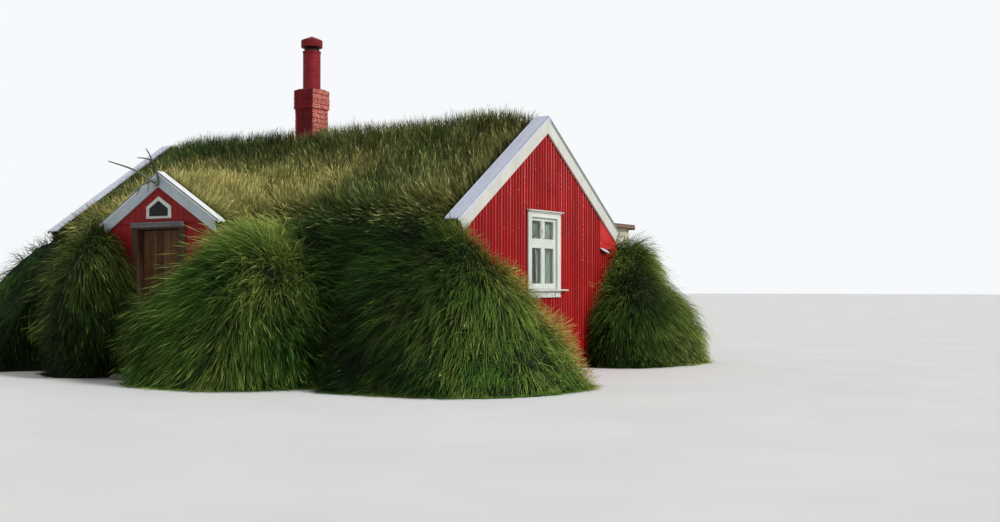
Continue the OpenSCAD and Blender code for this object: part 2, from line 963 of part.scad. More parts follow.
// Reindeer antlers on the porch gable. Points are across, forward and up from their seat
module antlers() {
    seat = [porch_x, -porch_y, porch_ridge_h - 143];
    left_beam = [
        [-15, -18, 10], [-100, -85, 73], [-180, -160, 150], [-270, -245, 206],
        [-350, -345, 245], [-420, -450, 282]
    ];
    right_beam = [
        [15, -18, 0], [70, -60, 80], [120, -140, 144], [170, -220, 210],
        [220, -310, 270], [280, -410, 335], [330, -515, 397]
    ];
    right_branch = [[220, -310, 270], [180, -400, 290], [130, -470, 293]];
    left_brow = [[-60, -50, 45], [-100, -180, -30], [-120, -310, -122]];
    left_fork = [[-100, -180, -30], [-75, -260, -110], [-60, -307, -157]];
    left_small = [[-80, -70, 58], [-50, -110, -50], [-40, -140, -112]];
    right_small = [[50, -45, 50], [55, -90, -20], [50, -118, -82]];
    color("darkkhaki") translate(seat) {
        translate([0, 0, 10]) rotate([90, 0, 0]) cylinder(r = 42, h = 26);
        tine(left_beam, 17, 7);
        tine(right_beam, 17, 6);
        tine(right_branch, 10, 6);
        tine(left_brow, 12, 9);
        tine(left_fork, 10, 7);
        tine(left_small, 9, 5);
        tine(right_small, 9, 5);
    }
}

// Masonry shaft from the ground up through the roof
module chimney_shaft() {
    top = stack_h - head_part_h;
    color("firebrick") translate([chimney_x, 0, 0]) difference() {
        translate([-shaft_w / 2, -shaft_w / 2, 0]) cube([shaft_w, shaft_w, top]);
        translate([0, 0, flue_z]) cylinder(d = flue_d, h = top);
    }
}

module chimney_head() {
    color("firebrick") translate([chimney_x, 0, stack_h - head_part_h]) difference() {
        translate([-stack_w / 2, -stack_w / 2, 0]) cube([stack_w, stack_w, head_part_h]);
        translate([0, 0, -1]) cylinder(d = flue_d, h = head_part_h + 2);
    }
}

module chimney_pipe() {
    color("firebrick") translate([chimney_x, 0, stack_h]) difference() {
        cylinder(d = pipe_d, h = pipe_h);
        translate([0, 0, -1]) cylinder(d = pipe_d - 2 * pipe_t, h = pipe_h + 2);
    }
}

// Lid with a rim and a low cone
module chimney_lid() {
    color("firebrick") translate([chimney_x, 0, stack_h + pipe_h]) rotate_extrude() polygon([
        [0, 0], [lid_d / 2 - 8, 0], [lid_d / 2, 10], [lid_d / 2, lid_h], [0, lid_h + cone_h]
    ]);
}

// Boarded walls of the small annexe behind the house
module annexe_walls() {
    color("wheat") difference() {
        block([annexe_x0, lining_y, 0], [annexe_x1, annexe_y1, annexe_h]);
        block([annexe_x0 + annexe_wall_t, lining_y - 1, -1],
            [annexe_x1 - annexe_wall_t, annexe_y1 - annexe_wall_t, annexe_h + 1]);
        along_x(annexe_x0 - 1, annexe_x1 + 1) polygon([
            [0, roof_z(0, bed_t)], [roof_run, roof_z(roof_run, bed_t)],
            [roof_run, eaves_h], [roof_run, big], [0, big]
        ]);
    }
}

// Flat roof of the annexe, resting on the main roof at its inner edge
module annexe_roof() {
    y0 = (ridge_h - annexe_h) * roof_run / roof_rise;
    color("indianred")
        block([annexe_x0 - annexe_over, y0, annexe_h],
            [annexe_x1 + annexe_over, annexe_y1 + annexe_over, annexe_h + annexe_roof_t]);
}

main_floor();
porch_floor();
doorstep();
turf_wall_front_left();
turf_wall_front_right();
turf_wall_rear_left();
turf_wall_rear_right();
porch_bank_left();
porch_bank_right();
room_lining();
wall_plates();
rafters();
roof_boards();
roof_turf_front();
roof_turf_rear();
gable_wall_left();
gable_wall_right();
gable_sheet_left();
gable_sheet_right();
verge_boards();
verge_caps();
window_left();
window_right();
window_glass();
curtains();
porch_lining();
porch_front();
porch_gable();
porch_roof_boards();
porch_roof_turf();
porch_verge_boards();
porch_verge_caps();
porch_window();
sign_board();
antlers();
door_frame();
hinge_pins();
door_leaf();
door_iron();
chimney_shaft();
chimney_head();
chimney_pipe();
chimney_lid();
annexe_walls();
annexe_roof();
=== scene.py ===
"""Looks of the turf house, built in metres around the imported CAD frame."""

import itertools
import math
from types import SimpleNamespace

import bmesh
import bpy
import numpy as np
from mathutils import Matrix, Vector
from mathutils.bvhtree import BVHTree


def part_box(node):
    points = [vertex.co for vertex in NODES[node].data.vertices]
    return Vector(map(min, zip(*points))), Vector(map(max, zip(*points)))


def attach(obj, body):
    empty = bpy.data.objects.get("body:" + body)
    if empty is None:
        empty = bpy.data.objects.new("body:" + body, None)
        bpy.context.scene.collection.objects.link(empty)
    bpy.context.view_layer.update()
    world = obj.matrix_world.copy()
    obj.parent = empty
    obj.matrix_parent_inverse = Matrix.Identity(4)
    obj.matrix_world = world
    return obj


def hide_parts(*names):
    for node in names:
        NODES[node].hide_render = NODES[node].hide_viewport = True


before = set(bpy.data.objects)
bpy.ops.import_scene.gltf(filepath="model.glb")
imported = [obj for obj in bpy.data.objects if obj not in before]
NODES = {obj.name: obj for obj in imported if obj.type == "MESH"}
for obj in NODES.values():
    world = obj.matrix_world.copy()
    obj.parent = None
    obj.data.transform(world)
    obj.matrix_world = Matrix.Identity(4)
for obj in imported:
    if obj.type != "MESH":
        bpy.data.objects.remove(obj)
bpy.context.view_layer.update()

# Camera, fitted to the corners of the house in the photograph
CAMERA_AT = (11.471, -14.586, 1.243)
CAMERA_YAW = 30.371
CAMERA_PITCH = 1.03
CAMERA_LENS = 43.11
CAMERA_SENSOR = 36
CAMERA_REACH = 300

# Light and floor
SUN_FROM = (0.9, -0.06, 0.62)
SUN_STRENGTH = 2.4
SUN_ANGLE = 12
SKY_STRENGTH = 0.45
BACKDROP = (0.93, 0.95, 0.97, 1)
FLOOR_RADIUS = 120

# Main sizes, as in part.scad
GABLE_X = 3.7
CLAD_X = 3.67
ROOF_RUN = 2.3
RIDGE_Z = 3.535
EAVES_Z = 2.035
PORCH_X = -0.2
PORCH_Y = -3.45
PORCH_RUN = 1.0
PORCH_RIDGE_Z = 2.663
PORCH_EAVES_Z = 2.051
ROOF_SLOPE = math.atan2(RIDGE_Z - EAVES_Z, ROOF_RUN)
PORCH_SLOPE = math.atan2(PORCH_RIDGE_Z - PORCH_EAVES_Z, PORCH_RUN)

WHITE = (1, 1, 1, 1)


# Colours
def linear(colour):
    """A linear colour from one such as "#e86866". Any other value stays as it is."""
    if not isinstance(colour, str):
        return colour
    parts = []
    for start in (1, 3, 5):
        value = int(colour[start : start + 2], 16) / 255
        parts.append(value / 12.92 if value <= 0.04045 else ((value + 0.055) / 1.055) ** 2.4)
    return (*parts, 1.0)


def dimmed(colour, share, lift=0.0):
    return (*(share * part + lift for part in linear(colour)[:3]), 1)


# Materials
class Finish:
    """A Principled material, built up by plain calls for its nodes. It keeps its last colour."""

    def __init__(self, name, roughness=0.7, metallic=0.0, specular=0.4):
        self.material = bpy.data.materials.new(name)
        self.material.use_nodes = True
        self.tree = self.material.node_tree
        self.shader = self.tree.nodes["Principled BSDF"]
        self.colour = WHITE
        self.set(Roughness=roughness, Metallic=metallic, Specular_IOR_Level=specular)

    def set(self, **settings):
        """Plain values of the shader's sockets, with _ for a space."""
        for name, value in settings.items():
            self.shader.inputs[name.replace("_", " ")].default_value = value

    def node(self, kind, **settings):
        """A new node. Settings name its inputs, with _ for a space."""
        node = self.tree.nodes.new(kind)
        for name, value in settings.items():
            self.feed(node.inputs[name.replace("_", " ")], value)
        return node

    def feed(self, socket, value):
        """Links a socket into this one, or sets it to a plain value."""
        if isinstance(value, bpy.types.NodeSocket):
            self.tree.links.new(value, socket)
        else:
            socket.default_value = linear(value)

    def place(self, scale=(1, 1, 1)):
        """Object coordinates in metres, scaled."""
        source = self.node("ShaderNodeTexCoord").outputs["Object"]
        return self.node("ShaderNodeMapping", Scale=scale, Vector=source).outputs["Vector"]

    def noise(self, vector, scale, detail=4.0, roughness=0.55, distortion=0.0):
        node = self.node(
            "ShaderNodeTexNoise",
            Vector=vector,
            Scale=scale,
            Detail=detail,
            Roughness=roughness,
            Distortion=distortion,
        )
        return node.outputs["Fac"]

    def streaks(self, scale, detail=4.0, roughness=0.55, distortion=0.0):
        """Noise with a scale of its own along each axis."""
        return self.noise(self.place(scale), 1.0, detail, roughness, distortion)

    def chance(self, number):
        """A random value of 0 to 1 for each whole number."""
        node = self.tree.nodes.new("ShaderNodeTexWhiteNoise")
        node.noise_dimensions = "1D"
        self.feed(node.inputs["W"], number)
        return node.outputs["Value"]

    def axis(self, vector, name):
        return self.node("ShaderNodeSeparateXYZ", Vector=vector).outputs[name]

    def attribute(self, name):
        node = self.node("ShaderNodeAttribute")
        node.attribute_name = name
        return node.outputs

    def maths(self, operation, a, b=0.0, c=0.0):
        node = self.node("ShaderNodeMath")
        node.operation = operation
        for socket, value in zip(node.inputs, (a, b, c)):
            self.feed(socket, value)
        return node.outputs[0]

    def times(self, a, b):
        return self.maths("MULTIPLY", a, b)

    def times_plus(self, a, b, c):
        return self.maths("MULTIPLY_ADD", a, b, c)

    def ramp(self, value, *stops):
        """Colours along a value: stops are (position, colour)."""
        node = self.node("ShaderNodeValToRGB")
        elements = node.color_ramp.elements
        while len(elements) < len(stops):
            elements.new(0.5)
        for element, (position, colour) in zip(elements, stops):
            element.position = position
            element.color = linear(colour)
        self.feed(node.inputs[0], value)
        return node.outputs[0]

    def greys(self, value, low, high, start=0.0, end=1.0):
        """A grey from low to high, between two positions."""
        return self.ramp(value, (start, (low, low, low, 1)), (end, (high, high, high, 1)))

    def step(self, value, low, high):
        """0 below low, 1 above high, even in between."""
        node = self.node("ShaderNodeMapRange", Value=value, From_Min=low, From_Max=high)
        return node.outputs["Result"]

    def blend(self, factor, a, b, mode="MIX"):
        node = self.node("ShaderNodeMix")
        node.data_type = "RGBA"
        node.blend_type = mode
        for index, value in ((0, factor), (6, a), (7, b)):
            self.feed(node.inputs[index], value)
        return node.outputs[2]

    def coat(self, new, mask, amount=None):
        """Lays a new colour over the last where the mask, or a (value, low, high) step, is 1."""
        share = self.step(*mask) if isinstance(mask, tuple) else mask
        if amount is not None:
            share = self.times(share, amount)
        self.colour = self.blend(share, self.colour, new)

    def shade(self, gain):
        self.colour = self.blend(1.0, self.colour, gain, "MULTIPLY")

    def tint(self):
        return self.attribute("tint")["Fac"]

    def tone(self, low):
        """Makes the colour darker on solids whose tint is near 0."""
        self.shade(self.greys(self.tint(), low, 1))

    def bump(self, height, distance, strength):
        node = self.node("ShaderNodeBump", Distance=distance, Strength=strength, Height=height)
        return node.outputs["Normal"]

    def done(self, rough=None, normal=None):
        for name, value in (("Base Color", self.colour), ("Roughness", rough), ("Normal", normal)):
            if value is not None:
                self.feed(self.shader.inputs[name], value)
        return self.material


def soil_finish():
    """Matted turf seen between the blades."""
    f = Finish("soil", roughness=0.9, specular=0.15)
    at = f.place()
    big = f.noise(at, 2.2, 5)
    fine = f.noise(at, 38, 5, 0.7)
    strands = f.streaks((60, 60, 7), 3, 0.6)
    base = f.ramp(big, (0.3, "#0c1806"), (0.55, "#182a0c"), (0.75, "#2c3414"))
    f.colour = f.blend(f.step(fine, 0.35, 0.65), "#0a0f04", base)
    f.coat("#3c4c1c", (strands, 0.55, 0.85))
    return f.done(normal=f.bump(f.maths("ADD", fine, strands), 0.04, 0.9))


def blade_finish(name, green, straw, rosy):
    """Grass: green and straw run from root to tip, near black at the root as painted shade deep in the
    tufts. look holds along, dry, tone and rosy.
    """
    f = Finish(name, roughness=0.65, specular=0.08)
    look = f.attribute("look")
    along, dry, tone = f.node("ShaderNodeSeparateColor", Color=look["Color"]).outputs
    f.colour = f.blend(dry, f.ramp(along, *green), f.ramp(along, *straw))
    f.coat(rosy, f.times(look["Alpha"], f.step(along, 0.55, 0.75)))
    gain = f.times_plus(tone, 2.1, 0.1)
    grey = f.node("ShaderNodeCombineColor", Red=gain, Green=gain, Blue=gain).outputs[0]
    patches = f.greys(f.noise(f.place(), 55, 2), 0.82, 1, 0.3, 0.7)
    f.shade(grey)
    f.shade(patches)
    return f.done()


# Fields of smooth random values, turned so that they don't line up with the house
FIELD_TURN = np.array(Matrix.Rotation(0.9, 3, Vector((0.48, 0.62, 0.62))))
FIELD_PRIMES = (73856093, 19349663, 83492791)
FIELD_SHIFT = 17.13
FIELD_BITS = 0x7FFFFFFF


def field(points, size, seed):
    """Values of 0 to 1 that change over about size metres."""
    spot = points @ FIELD_TURN / size + seed * FIELD_SHIFT
    cell = np.floor(spot).astype(np.int64)
    part = ease(spot - cell, 0, 1)
    total = np.zeros(len(points))
    for corner in itertools.product((0, 1), repeat=3):
        mixed = np.bitwise_xor.reduce((cell + corner) * FIELD_PRIMES, axis=1)
        mixed = (mixed ^ (seed * 7919 + 101)) & FIELD_BITS
        mixed = (mixed * 1103515245 + 12345) & FIELD_BITS
        mixed = (mixed ^ (mixed >> 13)) * 60493 & FIELD_BITS
        value = (mixed >> 7) % 65536 / 65535
        total += value * np.where(corner, part, 1 - part).prod(axis=1)
    return total


def fields3(points, size, seed):
    """Three fields of -1 to 1, as vectors."""
    rows = [field(points, size, seed + k) * 2 - 1 for k in range(3)]
    return np.stack(rows, axis=1)


def unit(vectors):
    size = np.linalg.norm(vectors, axis=-1, keepdims=True)
    return vectors / np.maximum(size, 1e-9)


def ease(values, low, high):
    """0 at low and 1 at high, smooth in between. Low may be the larger number."""
    t = np.clip((values - low) / (high - low), 0, 1)
    return t * t * (3 - 2 * t)


# Meshes
def sharpen(mesh, degrees=32):
    """Smooth shading with hard edges where faces meet at more than an angle."""
    form = bmesh.new()
    form.from_mesh(mesh)
    for face in form.faces:
        face.smooth = True
    for edge in form.edges:
        edge.smooth = len(edge.link_faces) == 2 and edge.calc_face_angle(0) < math.radians(degrees)
    form.to_mesh(mesh)
    form.free()


def link(obj):
    bpy.context.scene.collection.objects.link(obj)
    return obj


def piece(name, mesh, material, nodes=(), body="house"):
    """A new piece that rides on a body and stands for CAD nodes."""
    mesh.materials.clear()
    mesh.materials.append(material)
    obj = link(bpy.data.objects.new(name, mesh))
    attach(obj, body)
    if nodes:
        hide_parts(*nodes)
    return obj


def applied(mesh, kind, **settings):
    """A copy of a mesh with one modifier applied."""
    scratch = link(bpy.data.objects.new("scratch", mesh))
    modifier = scratch.modifiers.new("modifier", kind)
    for name, value in settings.items():
        setattr(modifier, name, value)
    graph = bpy.context.evaluated_depsgraph_get()
    done = bpy.data.meshes.new_from_object(scratch.evaluated_get(graph))
    bpy.data.objects.remove(scratch)
    return done


def remeshed(node, voxel):
    """A voxel copy of a CAD node's solid."""
    return applied(NODES[node].data.copy(), "REMESH", mode="VOXEL", voxel_size=voxel)


def tree_of(names):
    """One search tree over several CAD nodes."""
    points = []
    faces = []
    for name in names:
        mesh = NODES[name].data
        start = len(points)
        points.extend(v.co.copy() for v in mesh.vertices)
        faces.extend([start + k for k in p.vertices] for p in mesh.polygons)
    return BVHTree.FromPolygons(points, faces)


def arrays(mesh):
    """Points, normals, edges and triangles of a mesh."""
    count = len(mesh.vertices)
    points = np.zeros(count * 3)
    normals = np.zeros(count * 3)
    mesh.vertices.foreach_get("co", points)
    mesh.vertices.foreach_get("normal", normals)
    edges = np.zeros(len(mesh.edges) * 2, np.int32)
    mesh.edges.foreach_get("vertices", edges)
    mesh.calc_loop_triangles()
    faces = np.zeros(len(mesh.loop_triangles) * 3, np.int32)
    mesh.loop_triangles.foreach_get("vertices", faces)
    return points.reshape(-1, 3), normals.reshape(-1, 3), edges.reshape(-1, 2), faces.reshape(-1, 3)


def move_points(mesh, points):
    """Sets a mesh's points, none of them under the ground, and shades it smoothly."""
    points[:, 2] = np.maximum(points[:, 2], 0.0)
    mesh.vertices.foreach_set("co", points.ravel())
    mesh.update()
    mesh.polygons.foreach_set("use_smooth", np.ones(len(mesh.polygons), bool))


def spread(values, edges, rounds):
    """Values evened out between neighbours."""
    for _ in range(rounds):
        total = values.copy()
        number = np.ones(len(values))
        np.add.at(total, edges[:, 0], values[edges[:, 1]])
        np.add.at(total, edges[:, 1], values[edges[:, 0]])
        np.add.at(number, edges.ravel(), 1)
        values = total / number
    return values


# Turf: a soft lumpy core for each CAD solid
COVER_REACH = 0.22
COVER_GAP = 0.004
FOOT_Z = 0.03
LUMP_SIZE = 0.55
TUFT_SIZE = 0.21
OPEN_SHARE = 0.35


def turf_core(grass):
    """The core's mesh, with its open surface set back under the blades."""
    mesh = remeshed(grass.node, grass.voxel)
    points, normals, edges, _ = arrays(mesh)
    others = tree_of([n for n in NODES if n != grass.node])
    bare = np.ones(len(points))
    for k in range(len(points)):
        start = Vector(points[k] + normals[k] * COVER_GAP)
        if others.ray_cast(start, Vector(normals[k]), COVER_REACH)[0] is not None:
            bare[k] = 0
    low = points[:, 2] < FOOT_Z
    bare[low] *= 0.5
    bare = spread(np.minimum(bare, spread(bare, edges, 1)), edges, 2)
    push = -grass.inset + (field(points, LUMP_SIZE, grass.seed) - 0.5) * 2 * grass.lumps
    push += (field(points, TUFT_SIZE, grass.seed + 5) - 0.5) * grass.lumps
    push += grass.swell(points)
    move = normals * (push * bare)[:, None]
    move[low, 2] = 0
    move_points(mesh, points + move)
    return mesh, bare


def roots(mesh, bare, count, density, rng):
    """Random places on the open part of a core, with their normals."""
    points, normals, _, faces = arrays(mesh)
    corners = points[faces]
    cross = np.cross(corners[:, 1] - corners[:, 0], corners[:, 2] - corners[:, 0])
    area = np.linalg.norm(cross, axis=1)
    weight = area * (bare[faces].mean(axis=1) > OPEN_SHARE) * density(corners.mean(axis=1), unit(cross))
    chosen = rng.choice(len(faces), size=count, p=weight / weight.sum())
    a = rng.random(count)
    b = rng.random(count)
    flip = a + b > 1
    a = np.where(flip, 1 - a, a)[:, None]
    b = np.where(flip, 1 - b, b)[:, None]
    corner = corners[chosen]
    at = corner[:, 0] + a * (corner[:, 1] - corner[:, 0]) + b * (corner[:, 2] - corner[:, 0])
    smooth = normals[faces[chosen]].mean(axis=1)
    return at, unit(smooth)


# Turf: blades
GRASS_BOX = ((-5.68, -4.84, 0.0), (5.68, 4.02, 5.0))
BLADE_PROFILES = {2: (0.9, 0.75), 3: (0.8, 1.0, 0.7)}
STALK_PROFILE = (0.4, 0.3, 1.15)
STALK_RINGS = (0.0, 0.68, 0.84)
STALK_STIFF = 0.45
STALK_LOOK = (0.22, 0.15, 0.05)
LOOK_TOPS = (1, 1.5, 1)
CUT_SHARE = 0.4
CROWN_Z = (1.45, 1.9)
ROOT_DEPTH = 0.015
LEAST_Z = 0.003
LYING_Z = (0.006, 0.012, 0.02)
CLUMPS = ((0.42, 20, 1.0), (0.14, 30, 0.6))


def clear_of(tree, spine):
    """Which blades pass no hard surface."""
    free = np.ones(len(spine), bool)
    for k in range(spine.shape[1] - 1):
        start = spine[:, k]
        way = spine[:, k + 1] - start
        size = np.linalg.norm(way, axis=1)
        for i in np.flatnonzero(free & (size >= 1e-6)):
            if tree.ray_cast(Vector(start[i]), Vector(way[i]), size[i])[0] is not None:
                free[i] = False
    return free


def blade_mesh(name, spine, side, profile, look):
    """Joined ribbons. spine is blades x rings x 3, and its last ring is the tip."""
    count = len(spine)
    per = 2 * len(profile) + 1
    half = side[:, None] * np.array(profile)[None, :, None] / 2
    points = np.zeros((count, per, 3))
    points[:, 0:-1:2] = spine[:, :-1] - half
    points[:, 1::2] = spine[:, :-1] + half
    points[:, -1] = spine[:, -1]
    points[:, :, 2] = np.maximum(points[:, :, 2], LEAST_Z)
    steps = np.linalg.norm(np.diff(spine, axis=1), axis=2)
    run = np.concatenate([np.zeros((count, 1)), np.cumsum(steps, axis=1)], axis=1)
    tint = np.zeros((count, per, 4), np.float32)
    tint[:, :, 0] = np.repeat(run / run[:, -1:], 2, axis=1)[:, :per]
    tint[:, :, 1:] = look[:, None]
    pattern = [(per - 3, per - 2, per - 1)]
    for a in range(per - 5, -1, -2):
        pattern = [(a, a + 1, a + 3), (a, a + 3, a + 2)] + pattern
    faces = np.array(pattern)[None] + (np.arange(count) * per)[:, None, None]
    faces = faces.reshape(-1, 3)
    mesh = bpy.data.meshes.new(name)
    mesh.vertices.add(count * per)
    mesh.vertices.foreach_set("co", points.ravel())
    mesh.loops.add(faces.size)
    mesh.loops.foreach_set("vertex_index", faces.ravel().astype(np.int32))
    mesh.polygons.add(len(faces))
    mesh.polygons.foreach_set("loop_start", np.arange(0, faces.size, 3, dtype=np.int32))
    mesh.polygons.foreach_set("use_smooth", np.ones(len(faces), bool))
    mesh.update(calc_edges=True)
    colour = mesh.color_attributes.new("look", "FLOAT_COLOR", "POINT")
    colour.data.foreach_set("color", tint.ravel())
    add_blade_map(mesh, faces, tint[:, :, 0])
    return mesh


def add_blade_map(mesh, faces, along):
    """A map in which each blade has its own small cell, root to tip."""
    count = len(along)
    across = math.ceil(math.sqrt(count))
    cell = np.arange(count)
    place = np.zeros((*along.shape, 2))
    place[:, :, 0] = (cell % across)[:, None]
    place[:, :, 1] = (cell // across)[:, None]
    place[:, 0::2, 0] += 0.2
    place[:, 1::2, 0] += 0.8
    place[:, -1, 0] += 0.3
    place[:, :, 1] += 0.1 + 0.8 * along
    layer = mesh.uv_layers.new(name="OFBake")
    flat = (place / across).reshape(-1, 2)[faces.ravel()]
    layer.data.foreach_set("uv", flat.ravel().astype(np.float32))


def spines(grass, comb, at, up, length, rings, rng, stiff):
    """The middle lines of blades that start at at and bend down with their weight."""
    clump = sum(fields3(at, size, grass.seed + k) * share for size, k, share in CLUMPS)
    clump[:, 2] *= 0.5
    way = up * grass.rise + comb(at)
    way[:, 2] += grass.lift + grass.crown * mask(at, z=CROWN_Z)
    way = unit(way + clump * grass.ruffle + rng.normal(size=at.shape) * grass.scatter)
    fall = grass.droop(at) * (1 - stiff) * (0.7 + 0.6 * rng.random(len(at)))
    spine = np.zeros((len(at), rings + 1, 3))
    spine[:, 0] = at - up * ROOT_DEPTH
    for k in range(rings):
        way[:, 2] -= fall * (k + 0.3) / rings
        short = grass.keep - (way * up).sum(axis=1)
        way = unit(way + up * np.maximum(short, 0)[:, None])
        spine[:, k + 1] = spine[:, k] + way * (length / rings)[:, None]
    least, lying, spare = LYING_Z
    level = least + spare * rng.random(spine.shape[:2])
    spine[:, :, 2] = np.where(spine[:, :, 2] < lying, level, spine[:, :, 2])
    return np.clip(spine, *GRASS_BOX)


def rering(spine):
    """Moves the middle rings of a stalk towards its head."""
    out = spine.copy()
    for k, share in enumerate(STALK_RINGS):
        low = min(int(share * 3), 2)
        part = share * 3 - low
        out[:, k] = spine[:, low] * (1 - part) + spine[:, low + 1] * part
    return out


def sides(spine, up, width, rng):
    """The direction across each blade, times its width."""
    way = unit(spine[:, -1] - spine[:, 0])
    axis = unit(up + rng.normal(size=up.shape) * 0.7)
    return unit(np.cross(way, axis)) * width[:, None]


def cut_back(spine, hard):
    """Blades that meet a hard surface are made shorter, or left out. Gives which stay."""
    free = clear_of(hard, spine)
    met = np.flatnonzero(~free)
    root = spine[met][:, :1]
    spine[met] = root + (spine[met] - root) * CUT_SHARE
    free[met] = clear_of(hard, spine[met])
    return free


def grow(grass, core, bare, hard, finish):
    """Makes the blades and the seed stalks of one piece."""
    rng = np.random.default_rng(grass.seed)
    low, high = grass.length
    for kind in ("blades", "stalks"):
        is_stalk = kind == "stalks"
        count = grass.stalks if is_stalk else grass.blades
        density = grass.stalk_density if is_stalk else grass.density
        at, up = roots(core, bare, count, density, rng)
        length = (low + (high - low) * rng.random(count)) * grass.size(at)
        length *= 0.8 + 0.4 * field(at, 0.35, grass.seed + 40)
        width = grass.width * (0.7 + 0.6 * rng.random(count))
        look = grass.looks(at, rng)
        if is_stalk:
            look = np.clip(look + STALK_LOOK, 0, LOOK_TOPS)
            comb = grass.stalk_comb or grass.comb
            length *= grass.stalk_length
            spine = rering(spines(grass, comb, at, up, length, 3, rng, STALK_STIFF))
            profile = STALK_PROFILE
        else:
            spine = spines(grass, grass.comb, at, up, length, grass.rings, rng, 0.0)
            profile = BLADE_PROFILES[grass.rings]
        free = cut_back(spine, hard)
        side = sides(spine[free], up[free], width[free], rng)
        name = f"{grass.node}_{kind}"
        piece(name, blade_mesh(name, spine[free], side, profile, look[free]), finish)


# Camera, light and floor
def make_camera():
    data = bpy.data.cameras.new("camera")
    data.lens = CAMERA_LENS
    data.sensor_width = CAMERA_SENSOR
    data.clip_end = CAMERA_REACH
    camera = link(bpy.data.objects.new("camera", data))
    camera.location = CAMERA_AT
    camera.rotation_euler = (math.radians(90 + CAMERA_PITCH), 0, math.radians(CAMERA_YAW))
    bpy.context.scene.camera = camera


def make_sun():
    data = bpy.data.lights.new("sun", "SUN")
    data.energy = SUN_STRENGTH
    data.angle = math.radians(SUN_ANGLE)
    sun = link(bpy.data.objects.new("sun", data))
    sun.rotation_euler = Vector(SUN_FROM).to_track_quat("Z", "Y").to_euler()


def make_sky():
    """An even sky for light, and a backdrop where it is seen, mirrored or looked at through glass."""
    world = bpy.data.worlds.new("world")
    world.use_nodes = True
    bpy.context.scene.world = world
    tree = world.node_tree
    lighting = tree.nodes["Background"]
    seen = tree.nodes.new("ShaderNodeBackground")
    for node, colour, strength in ((lighting, WHITE, SKY_STRENGTH), (seen, BACKDROP, 1)):
        node.inputs["Color"].default_value = colour
        node.inputs["Strength"].default_value = strength
    rays = tree.nodes.new("ShaderNodeLightPath")
    share = rays.outputs["Is Camera Ray"]
    for name in ("Is Glossy Ray", "Is Transmission Ray"):
        either = tree.nodes.new("ShaderNodeMath")
        either.operation = "MAXIMUM"
        tree.links.new(share, either.inputs[0])
        tree.links.new(rays.outputs[name], either.inputs[1])
        share = either.outputs[0]
    mix = tree.nodes.new("ShaderNodeMixShader")
    for socket, value in zip(mix.inputs, (share, lighting.outputs[0], seen.outputs[0])):
        tree.links.new(value, socket)
    tree.links.new(mix.outputs[0], tree.nodes["World Output"].inputs["Surface"])
    bpy.context.scene.view_settings.view_transform = "Standard"


def make_floor():
    mesh = bpy.data.meshes.new("floor")
    form = bmesh.new()
    bmesh.ops.create_circle(form, cap_ends=True, radius=FLOOR_RADIUS, segments=64)
    form.to_mesh(mesh)
    form.free()
    f = Finish("floor", roughness=0.9, specular=0.1)
    shade = f.noise(f.place(), 0.6, 3)
    f.colour = f.ramp(shade, (0.35, "#e2e3e2"), (0.65, "#e8e8e6"))
    mesh.materials.append(f.done())
    link(bpy.data.objects.new("floor", mesh))


# Where things grow. Ranges are in metres, along these axes
PART_X = 1.8
AXES = {
    "x": lambda at: at[:, 0],
    "y": lambda at: at[:, 1],
    "z": lambda at: at[:, 2],
    "across": lambda at: np.abs(at[:, 1]),
    "part": lambda at: np.abs(at[:, 0] - PART_X),
    "diagonal": lambda at: at[:, 0] * 0.86 + at[:, 1] * 0.51,
}
NONE = (0, 0, 0)
NEAR_GABLE = dict(x=(3.4, 3.8), y=(-2.8, -2.0))
AT_SHOULDER = dict(NEAR_GABLE, z=(0.5, 0.9))


def mask(at, **ranges):
    """The product of eases along axes, such as z=(0.5, 0.9)."""
    share = 1.0
    for axis, (low, high) in ranges.items():
        share = share * ease(AXES[axis](at), low, high)
    return share


def total(base, *parts):
    """A base, plus each amount where its mask is 1. They are all numbers or all vectors."""

    def value(at, *_):
        out = np.zeros((len(at), np.size(base))) + base
        for amount, ranges in parts:
            out += mask(at, **ranges)[:, None] * np.array(amount)
        return out if np.size(base) > 1 else out[:, 0]

    return value


def joined(*ways):
    return lambda at, *_: sum(way(at) for way in ways)


def product(*ways):
    return lambda at, *_: np.prod([way(at) for way in ways], axis=0)


def scaled(way, share):
    return lambda at: way(at) * share


def swelling(flank, amount):
    """Outward growth of a core where a flank's way comes in."""
    return lambda at: np.linalg.norm(flank(at), axis=1) * amount


def turning(comb, way, **ranges):
    """A comb that turns to another way over ranges."""

    def turned(at):
        share = mask(at, **ranges)[:, None]
        return comb(at) * (1 - share) + share * np.array(way)

    return turned


def fan(x, y0, y1, out=0.75, down=0.55):
    """Blades that part from a line along Y and hang outwards."""

    def comb(at):
        away = at - np.array([x, 0, 0])
        away[:, 1] -= np.clip(at[:, 1], y0, y1)
        away[:, 2] = 0
        share = ease(np.linalg.norm(away, axis=1), 0.1, 0.7)[:, None]
        way = unit(away) * out * share
        way[:, 2] = 0.3 - (down + 0.3) * share[:, 0]
        return way

    return comb


def hanging(axis, middle, edge, out, down):
    """Upright blades that hang outwards over the edges on both sides of a middle."""

    def comb(at):
        side = at[:, axis] - middle
        over = ease(np.abs(side), *edge)
        way = np.zeros_like(at)
        way[:, axis] = np.sign(side) * over * out
        way[:, 2] = 0.85 - down * over
        return way

    return comb


def parted(at):
    """Swept to both sides of an upright line."""
    return np.clip((at[:, :1] - PART_X) / 0.5, -1, 1) * np.array([0.95, 0, 0])


